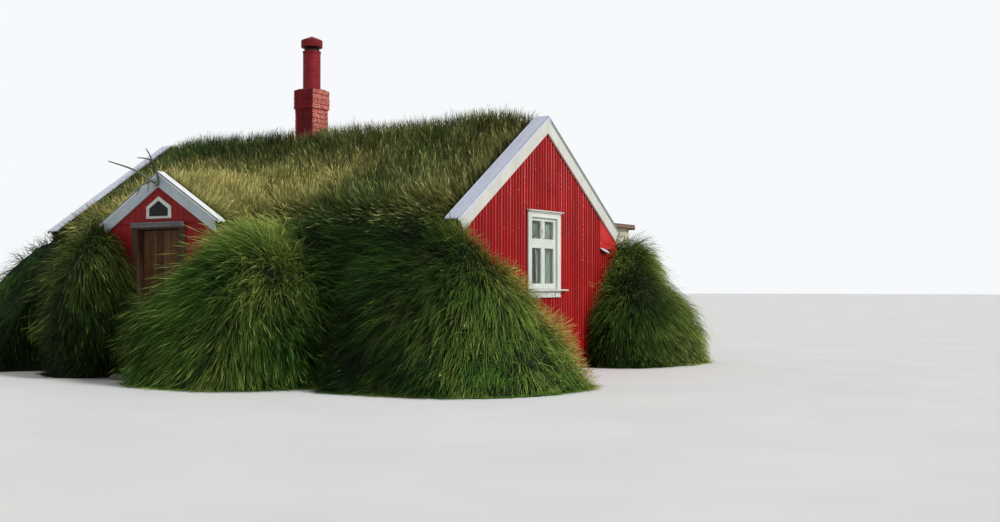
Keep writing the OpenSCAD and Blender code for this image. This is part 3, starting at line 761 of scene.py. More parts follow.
def bank_looks(seed, dry=0.1, tone=0.42, place=total(NONE)):
    """Lush green in tufts. place adds dry, tone and rosy by position."""

    def looks(at, rng):
        patch = field(at, 0.6, seed + 50) - 0.5
        tuft = field(at, 0.16, seed + 51) - 0.5
        out = np.zeros((len(at), 3))
        out[:, 0] = dry + 0.2 * ease(patch, 0.05, 0.4) + 0.08 * rng.normal(size=len(at))
        out[:, 1] = tone + 0.4 * patch + 0.5 * tuft + 0.2 * rng.normal(size=len(at))
        # Lighter towards the top of the bank, as painted light.
        out[:, 1] += 0.15 * mask(at, z=(0.7, 1.9))
        return np.clip(out + place(at), 0, LOOK_TOPS)

    return looks


def roof_looks(seed):
    """Olive and brown, golden beside the porch, greener near the ridge at the left."""

    def looks(at, rng):
        patch = field(at, 0.7, seed + 50)
        tuft = field(at, 0.18, seed + 51) - 0.5
        golden = mask(at, x=(-3.4, -2.4)) * mask(at, x=(1.7, 0.9), y=(-0.5, -1.3))
        green = mask(at, x=(0.6, -1.2), y=(-0.9, -0.3)) * mask(at, y=(0.9, 0.3))
        drift = mask(at, x=(0.3, 0.9)) * mask(at, x=(2.7, 1.9), y=(-1.2, -1.9))
        dry = 0.3 + 0.6 * golden + 0.25 * mask(at, x=(2.6, 3.4)) - 0.25 * green - 0.35 * drift
        out = np.zeros((len(at), 3))
        out[:, 0] = dry + 0.35 * (patch - 0.5) + 0.13 * rng.normal(size=len(at))
        out[:, 1] = 0.42 + 0.26 * golden - 0.1 * green + 0.45 * tuft
        out[:, 1] += 0.14 * rng.normal(size=len(at))
        out[:, 2] = 0.08 * ease(patch, 0.4, 0.8)
        return np.clip(out, 0, 1)

    return looks


# Flanks that grow out towards the door, across the gables' feet and to a corner
TO_DOOR_LEFT = total(NONE, ((1.1, -0.1, 0.3), dict(x=(-1.55, -1.05), z=(0.2, 0.6))))
TO_DOOR_RIGHT = total(NONE, ((-1.1, -0.15, -0.05), dict(x=(1.1, 0.5))))
OVER_DOOR = total(NONE, ((-0.5, -0.1, 0.1), dict(x=(1.3, 0.8), z=(1.0, 1.5))))
SWEPT_LEFT = total(NONE, ((-0.8, 0.1, 0.35), dict(x=(-1.2, -1.7))))
TO_GABLE = total(NONE, ((0.1, -1.1, 0.1), dict(y=(2.1, 1.5))))
TO_CORNER = total(NONE, ((-0.1, -0.8, 0.3), dict(y=(2.5, 2.0), z=(1.1, 1.5))))
TO_REAR = total(
    NONE,
    ((0.1, 1.0, 0.0), dict(y=(-1.9, -1.2))),
    ((-0.085, -0.85, 0.0), dict(y=(-1.9, -1.2), z=(0.45, 1.0))),
)

# Swept to the left, upwards at the top, and hanging at the right
FRONT_RIGHT_COMB = joined(
    turning(fan(4.1, -2.35, -1.9, 0.95, 0.45), (0.2, -0.05, -0.75), x=(4.3, 4.9)),
    TO_REAR,
    total(NONE, ((-0.2, 0.0, 0.55), dict(x=(4.6, 3.4), z=(0.7, 1.4)))),
)

# Drier and lighter in a rim next to the gable and to the right, the lighter tone painted sunlight; rosy
# seed heads next to the gable
FRONT_RIGHT_TONES = total(
    NONE,
    ((0.15, 0.1, 0), dict(x=(3.1, 3.8), z=(0.3, 1.0))),
    ((0.15, 1.2, 0), dict(x=(3.7, 5.1))),
    ((0, -0.2, 0.4), dict(x=(3.5, 3.9), y=(-2.6, -1.9))),
)

# Parted in the middle, rising at the top and drooping low down
RIGHT_BANK_COMB = joined(
    parted,
    total(
        (0, -0.25, 0),
        ((0, 0, 0.6), dict(z=(0.9, 1.6))),
        ((0, 0, -0.5), dict(z=(1.0, 0.3))),
        ((0, 0, -0.3), dict(part=(0.5, 0.0))),
        ((0, 0, -0.7), dict(x=(1.3, 0.8), z=(0.9, 1.5))),
    ),
    scaled(TO_DOOR_RIGHT, 0.5),
    scaled(OVER_DOOR, 0.3),
)

# Golden at the top and along the parting
RIGHT_BANK_TONES = total(
    NONE, ((0.5, 0.45, 0), dict(z=(1.1, 1.9))), ((0.3, 0.15, 0), dict(part=(0.3, 0.05)))
)

# Drier at the top, paler to the right, and in shade low down beside the gable
REAR_RIGHT_TONES = total(
    NONE,
    ((0.35, 0.22, 0), dict(z=(0.8, 1.6))),
    ((0.3, 0.7, 0.1), dict(diagonal=(4.5, 5.3))),
    ((0.12, -0.2, 0), dict(x=(4.3, 3.8), z=(1.4, 0.6))),
)

FOOT_SIZE = total(0.42, (0.58, dict(z=(0.05, 1.0))))
TOP_DENSE = total(1, (1.5, dict(z=(1.5, 1.85))))


def front_right_place(at):
    streak = ease(field(at, 0.28, 77), 0.52, 0.78) * mask(at, x=(3.2, 3.9))
    return FRONT_RIGHT_TONES(at) + streak[:, None] * np.array([0.34, 0.12, 0])


def roof_size(at):
    """Short along the left gable board, most of all low down, and longer at the lower edges."""
    short = 0.32 + 0.3 * mask(at, across=(1.6, 0.6))
    left = mask(at, x=(-3.62, -2.9))
    return (short + (1 - short) * left) * (1 + 0.6 * mask(at, across=(1.6, 2.2)))


def ridge_swell(at):
    """Fuller along the ridge, and most at the right end."""
    amount = 0.065 * mask(at, x=(-3.5, -3.1)) + 0.05 * mask(at, x=(2.0, 2.8))
    return amount * mask(at, across=(0.9, 0.25), x=(3.5, 3.1))


def slab_density(at, up):
    return (up[:, 2] > -0.25) * 1.0


def slab_stalks(at, up):
    return (up[:, 2] > 0.1) * (0.15 + mask(at, across=(0.2, 1.2)))


def turf(node, *kinds, **ways):
    """How one turf piece's grass grows. Later settings replace earlier ones."""
    settings = dict(BANK, node=node, looks=bank_looks(ways["seed"]))
    for more in (*kinds, ways):
        settings.update(more)
    return SimpleNamespace(**settings)


# What all banks share, and what the roofs have instead
BANK = dict(finish="bank", voxel=0.085, inset=0.12, lumps=0.05, swell=total(0))
BANK.update(rings=3, length=(0.30, 0.55), width=0.005, size=FOOT_SIZE, droop=total(0.75))
BANK.update(rise=0.5, lift=-0.1, crown=1.2, keep=0.05, ruffle=0.42, scatter=0.2)
BANK.update(density=total(1), stalk_density=total(1), stalk_length=1.2, stalk_comb=None)
SLAB = dict(finish="roof", inset=0.055, lumps=0.02, rings=2, length=(0.13, 0.25), width=0.0068)
SLAB.update(size=total(1), droop=total(0.4), rise=0.35, lift=0.0, crown=0.0, ruffle=0.28)
SLAB.update(density=slab_density, stalk_density=slab_stalks)
ROOF = dict(comb=hanging(1, 0, (1.75, 2.25), 0.9, 0.8), size=roof_size, swell=ridge_swell)
PORCH_ROOF = dict(comb=hanging(0, PORCH_X, (0.6, 0.95), 0.8, 0.6))

ALL_TURF = (
    turf(
        "turf_wall_front_right",
        **dict(blades=39000, stalks=4500, seed=11, width=0.0046, length=(0.34, 0.66)),
        **dict(comb=FRONT_RIGHT_COMB, crown=0.45, scatter=0.3, ruffle=0.55),
        droop=total(0.45, (0.35, dict(x=(3.4, 4.6)))),
        swell=joined(
            swelling(TO_REAR, 0.16),
            total(0, (0.05, dict(x=(3.0, 3.5), z=(0.5, 1.2))), (-0.07, AT_SHOULDER)),
        ),
        size=product(
            total(0.478, (0.522, dict(z=(0.05, 1.0)))),
            total(1, (-0.45, dict(x=(3.2, 3.7), z=(0.8, 1.5)))),
            total(1, (-0.35, AT_SHOULDER)),
        ),
        density=total(1, (1.2, dict(z=(0.8, 1.3))), (0.9, dict(z=(0.5, 0.15)))),
        looks=bank_looks(11, -0.03, 0.08, front_right_place),
        stalk_density=total(1, (12, NEAR_GABLE)),
        stalk_comb=turning(FRONT_RIGHT_COMB, (0.25, 0.35, 1.0), **NEAR_GABLE),
        stalk_length=0.75,
    ),
    turf(
        "porch_bank_right",
        **dict(blades=22500, stalks=3700, seed=12, length=(0.34, 0.64)),
        **dict(comb=RIGHT_BANK_COMB, crown=0.5, scatter=0.28, ruffle=0.5),
        swell=joined(swelling(TO_DOOR_RIGHT, 0.15), swelling(OVER_DOOR, 0.14)),
        size=product(
            total(0.65, (0.35, dict(z=(0.05, 1.0)))),
            total(1, (-0.62, dict(x=(1.3, 0.9), z=(1.05, 1.6)))),
            total(1, (-0.35, dict(z=(1.5, 1.9)))),
        ),
        density=TOP_DENSE,
        looks=bank_looks(12, -0.03, 0.36, RIGHT_BANK_TONES),
    ),
    turf(
        "porch_bank_left",
        **dict(blades=12700, stalks=1100, seed=13, crown=0.7),
        comb=joined(fan(-1.42, -3.4, -2.2), TO_DOOR_LEFT, SWEPT_LEFT),
        swell=swelling(TO_DOOR_LEFT, 0.28),
        size=product(FOOT_SIZE, total(1, (-0.5, dict(x=(-1.6, -1.2), z=(1.4, 1.85))))),
        density=joined(TOP_DENSE, swelling(TO_DOOR_LEFT, 2.5)),
        looks=bank_looks(13, 0.1, 0.0, total(NONE, ((0.35, 0.12, 0), dict(z=(0.8, 1.6))))),
    ),
    turf(
        "turf_wall_front_left",
        **dict(blades=12500, stalks=500, seed=14, crown=0.5, inset=0.2, voxel=0.1),
        comb=fan(-3.85, -2.1, -1.9),
        size=product(FOOT_SIZE, total(1, (-0.4, dict(z=(1.3, 1.8))))),
        density=TOP_DENSE,
        looks=bank_looks(14, -0.05, 0.2),
    ),
    turf(
        "turf_wall_rear_left",
        **dict(blades=12000, stalks=500, seed=15, rings=2, width=0.007, voxel=0.11),
        comb=fan(-3.85, 1.8, 1.95),
    ),
    turf(
        "turf_wall_rear_right",
        **dict(blades=13300, stalks=900, seed=16, crown=0.5),
        comb=joined(fan(3.85, 1.8, 1.95), TO_GABLE, TO_CORNER),
        swell=joined(
            swelling(TO_GABLE, 0.4),
            swelling(TO_CORNER, 0.1),
            total(0, (-0.2, dict(x=(3.9, 4.5), z=(0.8, 1.7)))),
        ),
        size=product(FOOT_SIZE, total(1, (-0.45, dict(x=(3.8, 4.3), z=(1.1, 1.8))))),
        density=joined(total(1, (2.5, dict(z=(1.3, 1.7)))), swelling(TO_GABLE, 2)),
        looks=bank_looks(16, 0.1, 0.34, REAR_RIGHT_TONES),
    ),
    turf("roof_turf_front", SLAB, ROOF, blades=39500, stalks=4700, seed=17, looks=roof_looks(17)),
    turf("roof_turf_rear", SLAB, ROOF, blades=15500, stalks=1500, seed=18, looks=roof_looks(18)),
    turf("porch_roof_turf", SLAB, PORCH_ROOF, blades=10300, stalks=1500, seed=19, looks=roof_looks(19)),
)


def make_turf():
    soil = soil_finish()
    # The root end of each green and straw ramp is near black, as painted shade deep in the tufts.
    finishes = {
        "bank": blade_finish(
            "lush",
            [(0.0, "#060f04"), (0.45, "#183a0c"), (1.0, "#4c762c")],
            [(0.0, "#181e08"), (0.5, "#545e22"), (1.0, "#9e9c58")],
            "#885a3c",
        ),
        "roof": blade_finish(
            "roof_grass",
            [(0.0, "#0e1809"), (0.45, "#30481c"), (1.0, "#647c48")],
            [(0.0, "#2a2814"), (0.5, "#7a763c"), (1.0, "#b8b070")],
            "#8c684e",
        ),
    }
    soft = [grass.node for grass in ALL_TURF]
    hard = tree_of([name for name in NODES if name not in soft])
    for grass in ALL_TURF:
        core, bare = turf_core(grass)
        piece(f"{grass.node}_core", core, soil, [grass.node])
        grow(grass, core, bare, hard, finishes[grass.finish])


# Finishes of the hard parts
SHEET_PITCH = 0.0762
CROSS_GRAIN = {"X": (3, 40, 40), "Y": (40, 3, 40), "Z": (40, 40, 3)}


def painted_finish(name, paint, under, chips=0.62, grain=(3, 40, 40), dirt="#969280"):
    """Painted board: brush marks, soft dirt and places where the paint has come off."""
    f = Finish(name, roughness=0.55, specular=0.2)
    at = f.place()
    strokes = f.streaks(grain, 4, 0.6)
    broad = f.noise(at, 2.6, 3)
    stain = f.noise(f.place((3, 3, 1.2)), 1.6, 5, 0.7)
    flakes = f.noise(f.place(tuple(3.2 * g**0.55 for g in grain)), 1.3, 7, 0.75)
    f.colour = dimmed(paint, 0.86)
    f.coat(paint, (broad, 0.3, 0.7))
    f.coat(dirt, (stain, 0.52, 0.78), 0.4)
    f.tone(0.9)
    worn = f.times_plus(f.step(f.tint(), 0.25, 0.15), 0.12, flakes)
    bare = f.step(worn, chips, chips + 0.03)
    f.coat(under, bare)
    height = f.maths("SUBTRACT", f.times(strokes, 0.4), bare)
    return f.done(f.times_plus(bare, 0.35, 0.48), f.bump(height, 0.0015, 0.8))


def timber_finish(name, pale, dark, grain, wear):
    """Bare timber with grain along one axis, weathered in patches."""
    f = Finish(name, roughness=0.8, specular=0.25)
    warp = f.streaks(tuple(g * 0.25 for g in grain), 3)
    lines = f.streaks(grain, 6, 0.72, 0.4)
    cracks = f.streaks(tuple(g * 2.2 for g in grain), 3, 0.6)
    mixed = f.times_plus(warp, 0.5, f.times(lines, 0.6))
    f.colour = f.ramp(mixed, (0.32, dark), (0.72, pale))
    split = f.step(cracks, 0.66, 0.72)
    f.coat(dimmed(dark, 0.35), split)
    f.coat(dimmed(pale, 0.5, 0.06), (f.noise(f.place(), 3.1, 4), 0.5, 0.7), wear)
    f.tone(0.6)
    height = f.maths("SUBTRACT", lines, f.times(split, 0.8))
    return f.done(normal=f.bump(height, 0.002, 0.9))


def plank_finish(name, pale, dark, across, along, width=0.12):
    """Boarding on a CAD solid: across is the axis that crosses the boards."""
    f = Finish(name, roughness=0.75, specular=0.3)
    spot = f.maths("DIVIDE", f.axis(f.place(), across), width)
    number = f.maths("FLOOR", spot)
    part = f.maths("FRACT", spot)
    chance = f.chance(number)
    lines = f.streaks(CROSS_GRAIN[along], 6, 0.7, 0.3)
    f.colour = f.ramp(lines, (0.3, dark), (0.7, pale))
    f.shade(f.greys(chance, 0.72, 1))
    edge = f.maths("MINIMUM", part, f.maths("SUBTRACT", 1.0, part))
    gap = f.step(edge, 0.012, 0.03)
    f.colour = f.blend(gap, dimmed(dark, 0.25), f.colour)
    return f.done(normal=f.bump(f.times_plus(lines, 0.25, gap), 0.004, 1.0))


def iron_sheet_finish():
    """Red paint on corrugated iron: pale crests that are partly worn paint and partly painted highlight,
    troughs darkened as painted shade, streaks and a little rust.
    """
    f = Finish("red_sheet", roughness=0.5, specular=0.12)
    at = f.place()
    spot = f.maths("DIVIDE", f.axis(at, "Y"), SHEET_PITCH)
    crest = f.times_plus(f.maths("COSINE", f.times(spot, 2 * math.pi)), 0.5, 0.5)
    chance = f.chance(f.maths("ROUND", spot))
    broad = f.noise(at, 1.7, 4)
    streak = f.streaks((9, 34, 0.9), 4, 0.65)
    speck = f.streaks((60, 90, 26), 4, 0.7)
    fine = f.noise(at, 140, 3)
    f.colour = f.ramp(broad, (0.3, "#960306"), (0.7, "#b8080b"))
    f.shade(f.greys(chance, 0.84, 1.06))
    # Troughs darkened as painted shade in the corrugations.
    painted_trough_shade = f.blend(1.0, f.colour, (0.27, 0.12, 0.12, 1), "MULTIPLY")
    f.colour = f.blend(f.step(crest, 0.12, 0.7), painted_trough_shade, f.colour)
    f.coat("#6e0a0c", (streak, 0.55, 0.8), 0.35)
    # Pale lines on the crests: partly worn paint, partly painted highlight, fainter low down as painted
    # shade.
    worn = f.times(f.step(crest, 0.8, 0.96), f.step(streak, 0.28, 0.52))
    worn = f.times(worn, f.times_plus(f.step(chance, 0.25, 0.85), 0.65, 0.3))
    high = f.times_plus(f.step(f.axis(at, "Z"), 1.3, 2.6), 0.65, 0.3)
    f.coat("#e86866", worn, high)
    chips = f.times_plus(f.step(f.axis(at, "Z"), 1.2, 2.6), 0.05, speck)
    chips = f.times_plus(f.step(chance, 0.88, 0.92), 0.06, chips)
    f.coat("#e8ccc6", f.times(f.step(chips, 0.69, 0.72), f.step(crest, 0.5, 0.8)))
    low = f.step(f.axis(at, "Z"), 0.75, 0.1)
    f.coat("#682816", f.times(low, f.step(f.noise(at, 8, 6, 0.7), 0.5, 0.62)), 0.7)
    rough = f.times_plus(streak, 0.3, 0.36)
    return f.done(rough, f.bump(f.maths("ADD", fine, speck), 0.0008, 0.6))


def metal_finish(name, colour, stain, painted_rear_shade=None):
    """Coated sheet metal, dented and stained. The optional last colour is painted shade laid on the rear
    slope.
    """
    f = Finish(name, roughness=0.38, specular=0.25)
    at = f.place()
    marks = f.noise(f.place((7, 7, 2)), 1.4, 6, 0.7)
    dents = f.noise(at, 4.5, 2)
    f.colour = colour
    f.coat(stain, (marks, 0.5, 0.75), 0.5)
    if painted_rear_shade is not None:
        f.coat(painted_rear_shade, (f.axis(at, "Y"), 0.02, 0.1), 0.85)
    f.tone(0.93)
    return f.done(f.times_plus(marks, 0.25, 0.28), f.bump(dents, 0.006, 0.5))


def masonry_finish(name, pale, deep, worn, start, depth):
    """Paint on masonry. It has come off where a fine noise is above start."""
    f = Finish(name, roughness=0.65, specular=0.15)
    at = f.place()
    broad = f.noise(at, 5, 4)
    pits = f.noise(at, 46, 6, 0.75)
    wash = f.streaks((20, 20, 3), 4, 0.6)
    f.colour = f.ramp(broad, (0.3, deep), (0.7, pale))
    dark = dimmed(deep, 0.5)
    f.coat(dark, (wash, 0.5, 0.8), 0.45)
    f.tone(0.7)
    f.coat(worn, (pits, start, start + 0.06), 0.85)
    f.coat(dark, (f.noise(at, 70, 4, 0.7), 0.36, 0.3), 0.7)
    return f.done(normal=f.bump(pits, depth, 1.0))


def pipe_finish():
    """Red clay pipe, sooty at the top, with a band of painted shade under the lid's rim."""
    f = Finish("red_pipe", roughness=0.55, specular=0.18)
    at = f.place()
    rings = f.streaks((3, 3, 70), 3, 0.6)
    broad = f.noise(at, 6, 5, 0.65)
    soot = f.step(f.axis(at, "Z"), 4.72, 4.98)
    f.colour = f.ramp(broad, (0.3, "#68121a"), (0.7, "#922028"))
    f.coat("#541016", (rings, 0.5, 0.7), 0.4)
    f.coat("#381418", f.times(soot, f.step(broad, 0.35, 0.65)), 0.35)
    # A near-black band just under the lid's rim: painted shade.
    below = f.step(f.axis(at, "Z"), 4.843, 4.853)
    f.coat("#1a0a0a", f.times(below, f.step(f.axis(at, "Z"), 4.912, 4.903)), 0.9)
    return f.done(normal=f.bump(rings, 0.003, 0.7))


def iron_finish():
    f = Finish("iron", roughness=0.6, metallic=0.7)
    rust = f.noise(f.place(), 60, 6, 0.7)
    f.colour = f.ramp(rust, (0.4, "#3a3838"), (0.62, "#70422c"))
    return f.done(normal=f.bump(rust, 0.001, 0.8))


def bone_finish():
    f = Finish("antler", roughness=0.65)
    streak = f.streaks((18, 18, 18), 6, 0.7, 1.2)
    fine = f.noise(f.place(), 120, 3)
    f.colour = f.ramp(streak, (0.3, "#363a2c"), (0.55, "#5e624e"), (0.8, "#868670"))
    return f.done(normal=f.bump(f.maths("ADD", streak, fine), 0.002, 0.8))


def stone_finish():
    f = Finish("stone", roughness=0.85)
    at = f.place()
    broad = f.noise(at, 7, 6, 0.65)
    grit = f.node("ShaderNodeTexVoronoi", Vector=at, Scale=160).outputs["Distance"]
    f.colour = f.ramp(broad, (0.3, "#484842"), (0.55, "#74726a"), (0.75, "#8e8c82"))
    f.coat("#4a5428", (f.noise(at, 11, 4), 0.6, 0.72), 0.6)
    return f.done(normal=f.bump(f.maths("ADD", broad, grit), 0.004, 0.9))


def felt_finish():
    f = Finish("felt", roughness=0.9, specular=0.2)
    at = f.place()
    grit = f.noise(at, 260, 3, 0.7)
    broad = f.noise(at, 3.4, 5, 0.6)
    f.colour = f.ramp(broad, (0.3, "#302e30"), (0.7, "#545050"))
    f.coat("#565a34", (f.noise(at, 6, 5, 0.7), 0.62, 0.72), 0.7)
    f.tone(0.85)
    return f.done(normal=f.bump(grit, 0.002, 0.8))


def cloth_finish():
    """Curtain cloth with a fine weave."""
    f = Finish("curtain", roughness=0.9, specular=0.2)
    at = f.place()
    weft = f.maths("SINE", f.times(f.axis(at, "Y"), 3600))
    warp = f.maths("SINE", f.times(f.axis(at, "Z"), 3200))
    weave = f.maths("ADD", weft, warp)
    wash = f.noise(f.place((3, 12, 2)), 1.5, 4)
    f.colour = f.ramp(wash, (0.3, "#4e5544"), (0.7, "#666c5a"))
    f.coat("#d6d8ce", f.tint())
    f.set(Sheen_Weight=0.25, Sheen_Roughness=0.5)
    return f.done(normal=f.bump(weave, 0.0006, 0.6))


def glass_finish(name, tint, specular):
    """Glass that lets the sun through."""
    f = Finish(name, roughness=0.03, specular=specular)
    f.set(Transmission_Weight=1.0, IOR=1.22, Base_Color=tint)
    clear = f.node("ShaderNodeBsdfTransparent", Color=tint)
    rays = f.node("ShaderNodeLightPath")
    mix = f.node("ShaderNodeMixShader", Fac=rays.outputs["Is Shadow Ray"])
    f.feed(mix.inputs[1], f.shader.outputs[0])
    f.feed(mix.inputs[2], clear.outputs[0])
    f.feed(f.tree.nodes["Material Output"].inputs["Surface"], mix.outputs[0])
    return f.material


# Solids of the hard parts
def prism_faces(count):
    """The faces between two rings of points, and their ends."""
    faces = [list(range(count)), list(range(count, 2 * count))]
    for k in range(count):
        n = (k + 1) % count
        faces.append([k, n, count + n, count + k])
    return faces


def aimed(at, way):
    """A turn of an upright shape along a way, at a place."""
    return Matrix.Translation(at) @ Vector(way).to_track_quat("Z", "Y").to_matrix().to_4x4()


def circle(count):
    for k in range(count):
        yield math.cos(2 * math.pi * k / count), math.sin(2 * math.pi * k / count)


def skin(form, rings):
    """Faces between rings of points. A ring may be a single point."""
    for a, b in zip(rings, rings[1:]):
        count = max(len(a), len(b))
        for k in range(count):
            n = (k + 1) % count
            if len(a) == 1:
                form.faces.new([a[0], b[n], b[k]])
            elif len(b) == 1:
                form.faces.new([a[k], a[n], b[0]])
            else:
                form.faces.new([a[k], a[n], b[n], b[k]])


class Form:
    """Collects solids for one piece. Each solid has its own tint of 0 to 1."""

    def __init__(self, seed=1):
        self.points = []
        self.faces = []
        self.tints = []
        self.smooth = []
        self.rng = np.random.default_rng(seed)

    def add(self, form, tint=None, smooth=False):
        """Takes over the solid in a bmesh."""
        bmesh.ops.recalc_face_normals(form, faces=form.faces)
        form.verts.index_update()
        start = len(self.points)
        value = self.rng.random() if tint is None else tint
        for vert in form.verts:
            self.points.append(tuple(vert.co))
            self.tints.append(value)
        for face in form.faces:
            self.faces.append([start + vert.index for vert in face.verts])
            self.smooth.append(smooth)
        form.free()

    def hull(self, points, faces, bevel=0.0, tint=None):
        form = bmesh.new()
        verts = [form.verts.new(p) for p in points]
        for face in faces:
            form.faces.new([verts[k] for k in face])
        if bevel:
            bmesh.ops.recalc_face_normals(form, faces=form.faces)
            how = dict(segments=1, profile=0.5, affect="EDGES", clamp_overlap=True)
            bmesh.ops.bevel(form, geom=form.edges[:], offset=bevel, **how)
        self.add(form, tint)

    def prism(self, axis, outline, low, high, bevel=0.002, tint=None):
        """An outline in the other two axes, in their order, drawn out along an axis."""
        place = "xyz".index(axis)
        points = [
            (*spot[:place], level, *spot[place:]) for level in sorted((low, high)) for spot in outline
        ]
        self.hull(points, prism_faces(len(outline)), bevel, tint)

    def block(self, x, y, z, bevel=0.002, tint=None):
        """A box. Each axis has its two ends, in either order."""
        (x0, x1), (y0, y1) = sorted(x), sorted(y)
        self.prism("z", [(x0, y0), (x1, y0), (x1, y1), (x0, y1)], *z, bevel, tint)

    def nail(self, at, way, radius=0.004, height=0.0015):
        """A low round head on a face."""
        form = bmesh.new()
        size = dict(radius1=radius, radius2=radius * 0.6, depth=height * 2)
        bmesh.ops.create_cone(form, cap_ends=True, segments=8, **size)
        form.transform(aimed(at, way))
        self.add(form, 0.5)

    def turned(self, turn, profile, segments, tint):
        """A profile of (radius, height) turned about an axis, closed on the axis."""
        form = bmesh.new()
        rings = []
        for radius, height in profile:
            spots = [(radius * x, radius * y, height) for x, y in circle(segments if radius else 1)]
            rings.append([form.verts.new(spot) for spot in spots])
        skin(form, rings)
        form.transform(turn)
        self.add(form, tint, smooth=True)

    def tube(self, points, r0, r1, sides=10, knots=0.0):
        """A smooth tapered tube through points, closed at both ends."""
        line = smooth_line(points, 6)
        last = len(line) - 1
        form = bmesh.new()
        rings = []
        side = Vector((0, 0, 1))
        for k, spot in enumerate(line):
            ahead = (line[min(k + 1, last)] - line[max(k - 1, 0)]).normalized()
            side = (side - ahead * side.dot(ahead)).normalized()
            other = ahead.cross(side)
            radius = r0 + (r1 - r0) * (k / last)
            radius *= 1 + knots * (self.rng.random() - 0.5)
            if k == last:
                radius *= 0.45
            spots = [spot + (side * x + other * y) * radius for x, y in circle(sides)]
            rings.append([form.verts.new(spot) for spot in spots])
        skin(form, rings)
        form.faces.new(rings[0])
        form.faces.new(rings[-1])
        self.add(form, smooth=True)

    def mirrored(self):
        """The same solids on the -X side."""
        other = Form()
        other.points = [(-x, y, z) for x, y, z in self.points]
        other.faces = [face[::-1] for face in self.faces]
        other.tints = self.tints[:]
        other.smooth = self.smooth[:]
        return other

    def join(self, other):
        start = len(self.points)
        self.points += other.points
        self.faces += [[start + k for k in face] for face in other.faces]
        self.tints += other.tints
        self.smooth += other.smooth

    def stand_for(self, node, material, slot):
        """Makes the piece that replaces one CAD node."""
        self.make(f"{node}_new", material, slot, [node])

    def make(self, name, material, slot, nodes=(), body="house"):
        mesh = bpy.data.meshes.new(name)
        mesh.from_pydata(self.points, [], self.faces)
        mesh.attributes.new("tint", "FLOAT", "POINT").data.foreach_set("value", self.tints)
        mesh.update()
        if any(self.smooth):
            sharpen(mesh)
        piece(name, mesh, material, nodes, body)


def smooth_line(points, steps):
    """Points on a smooth curve through the given ones."""
    spots = [Vector(p) for p in points]
    spots = [spots[0] * 2 - spots[1]] + spots + [spots[-1] * 2 - spots[-2]]
    line = []
    for a, b, c, d in zip(spots, spots[1:], spots[2:], spots[3:]):
        for j in range(steps):
            t = j / steps
            base = 2 * b + (c - a) * t + (2 * a - 5 * b + 4 * c - d) * t * t
            line.append(0.5 * (base + (3 * b - a - 3 * c + d) * t**3))
    line.append(spots[-2])
    return line


def roof_z(y, depth):
    return RIDGE_Z - (RIDGE_Z - EAVES_Z) * abs(y) / ROOF_RUN - depth / math.cos(ROOF_SLOPE)


def porch_z(x, depth):
    fall = (PORCH_RIDGE_Z - PORCH_EAVES_Z) * abs(x - PORCH_X) / PORCH_RUN
    return PORCH_RIDGE_Z - fall - depth / math.cos(PORCH_SLOPE)


def quad(x, low, high):
    return [(x[0], low[0]), (x[1], low[1]), (x[1], high[1]), (x[0], high[0])]


def under_roof(side, y0, y1, shallow, deep):
    """An outline between two depths under the roof's face."""
    spots = ((y0, shallow), (y1, shallow), (y1, deep), (y0, deep))
    return [(side * y, roof_z(y, depth)) for y, depth in spots]


def under_porch_roof(x, deep, shallow):
    return quad(x, *([porch_z(v, depth) for v in x] for depth in (deep, shallow)))


# Corrugated gables
SHEET_DEEP = 0.018
SHEET_T = 0.0012
SHEET_WAVER = 0.003
SHEET_TOP = 0.1752
SHEET_STEPS = 6
SHEET_ROWS = 4
SHEET_SEED = 31
COURSES = (("lower", 0.0, 1.26, -0.0022), ("upper", 1.215, 9.0, 0.0))
GABLES = ((1, "right"), (-1, "left"))
WINDOW_Y = -0.084
WINDOW_W = 0.74
WINDOW_Z = 1.15
WINDOW_H = 0.98
WINDOW_BOX = 0.022
HOLE_Y = (WINDOW_Y - WINDOW_W / 2 - WINDOW_BOX, WINDOW_Y + WINDOW_W / 2 + WINDOW_BOX)
HOLE_Z = (WINDOW_Z - WINDOW_BOX, WINDOW_Z + WINDOW_H + WINDOW_BOX)
SCREW_ROWS = (0.35, 1.24, 2.3, 2.75)
SCREW_COLUMNS = range(-29, 30, 3)
SCREW_SIZE = (0.008, 0.002)
SCREW_ROOF_GAP = 0.24
SCREW_FREE_Y = 0.5
SCREW_FREE_Z = (1.0, 2.25)
PATCH_T = 0.003
LATH_T = 0.008
PATCH = [(1.7, 1.75), (2.285, 1.75), (2.285, 1.82), (1.7, 2.19)]
PATCH_LATH = [(1.76, 1.838), (2.02, 1.83), (2.02, 1.845), (1.76, 1.853)]
FLASHING = (
    (0.002, 1.69, 1.765),
    (0.002, 1.8, 1.76),
    (0.002, 1.95, 1.735),
    (0.06, 1.68, 1.73),
    (0.07, 1.8, 1.7),
    (0.05, 1.94, 1.69),
)
FLASHING_FACES = [(0, 1, 4, 3), (1, 2, 5, 4), (6, 9, 10, 7), (7, 10, 11, 8), (0, 6, 7, 1)]
FLASHING_FACES += [(1, 7, 8, 2), (3, 4, 10, 9), (4, 5, 11, 10), (0, 3, 9, 6), (2, 8, 11, 5)]


def sheet_spans(a, b, low, high):
    """Where a strip of sheet runs, from the heights of its foot to those of its top."""
    tops = np.array([min(high, roof_z(y, SHEET_TOP)) for y in (a, b)])
    if a < HOLE_Y[0] - 1e-6 or b > HOLE_Y[1] + 1e-6:
        return [(np.array([low, low]), tops)]
    spans = []
    if low < HOLE_Z[0] < high:
        spans.append((np.array([low, low]), np.array([HOLE_Z[0]] * 2)))
    if HOLE_Z[1] < high:
        spans.append((np.array([max(HOLE_Z[1], low)] * 2), tops))
    return spans


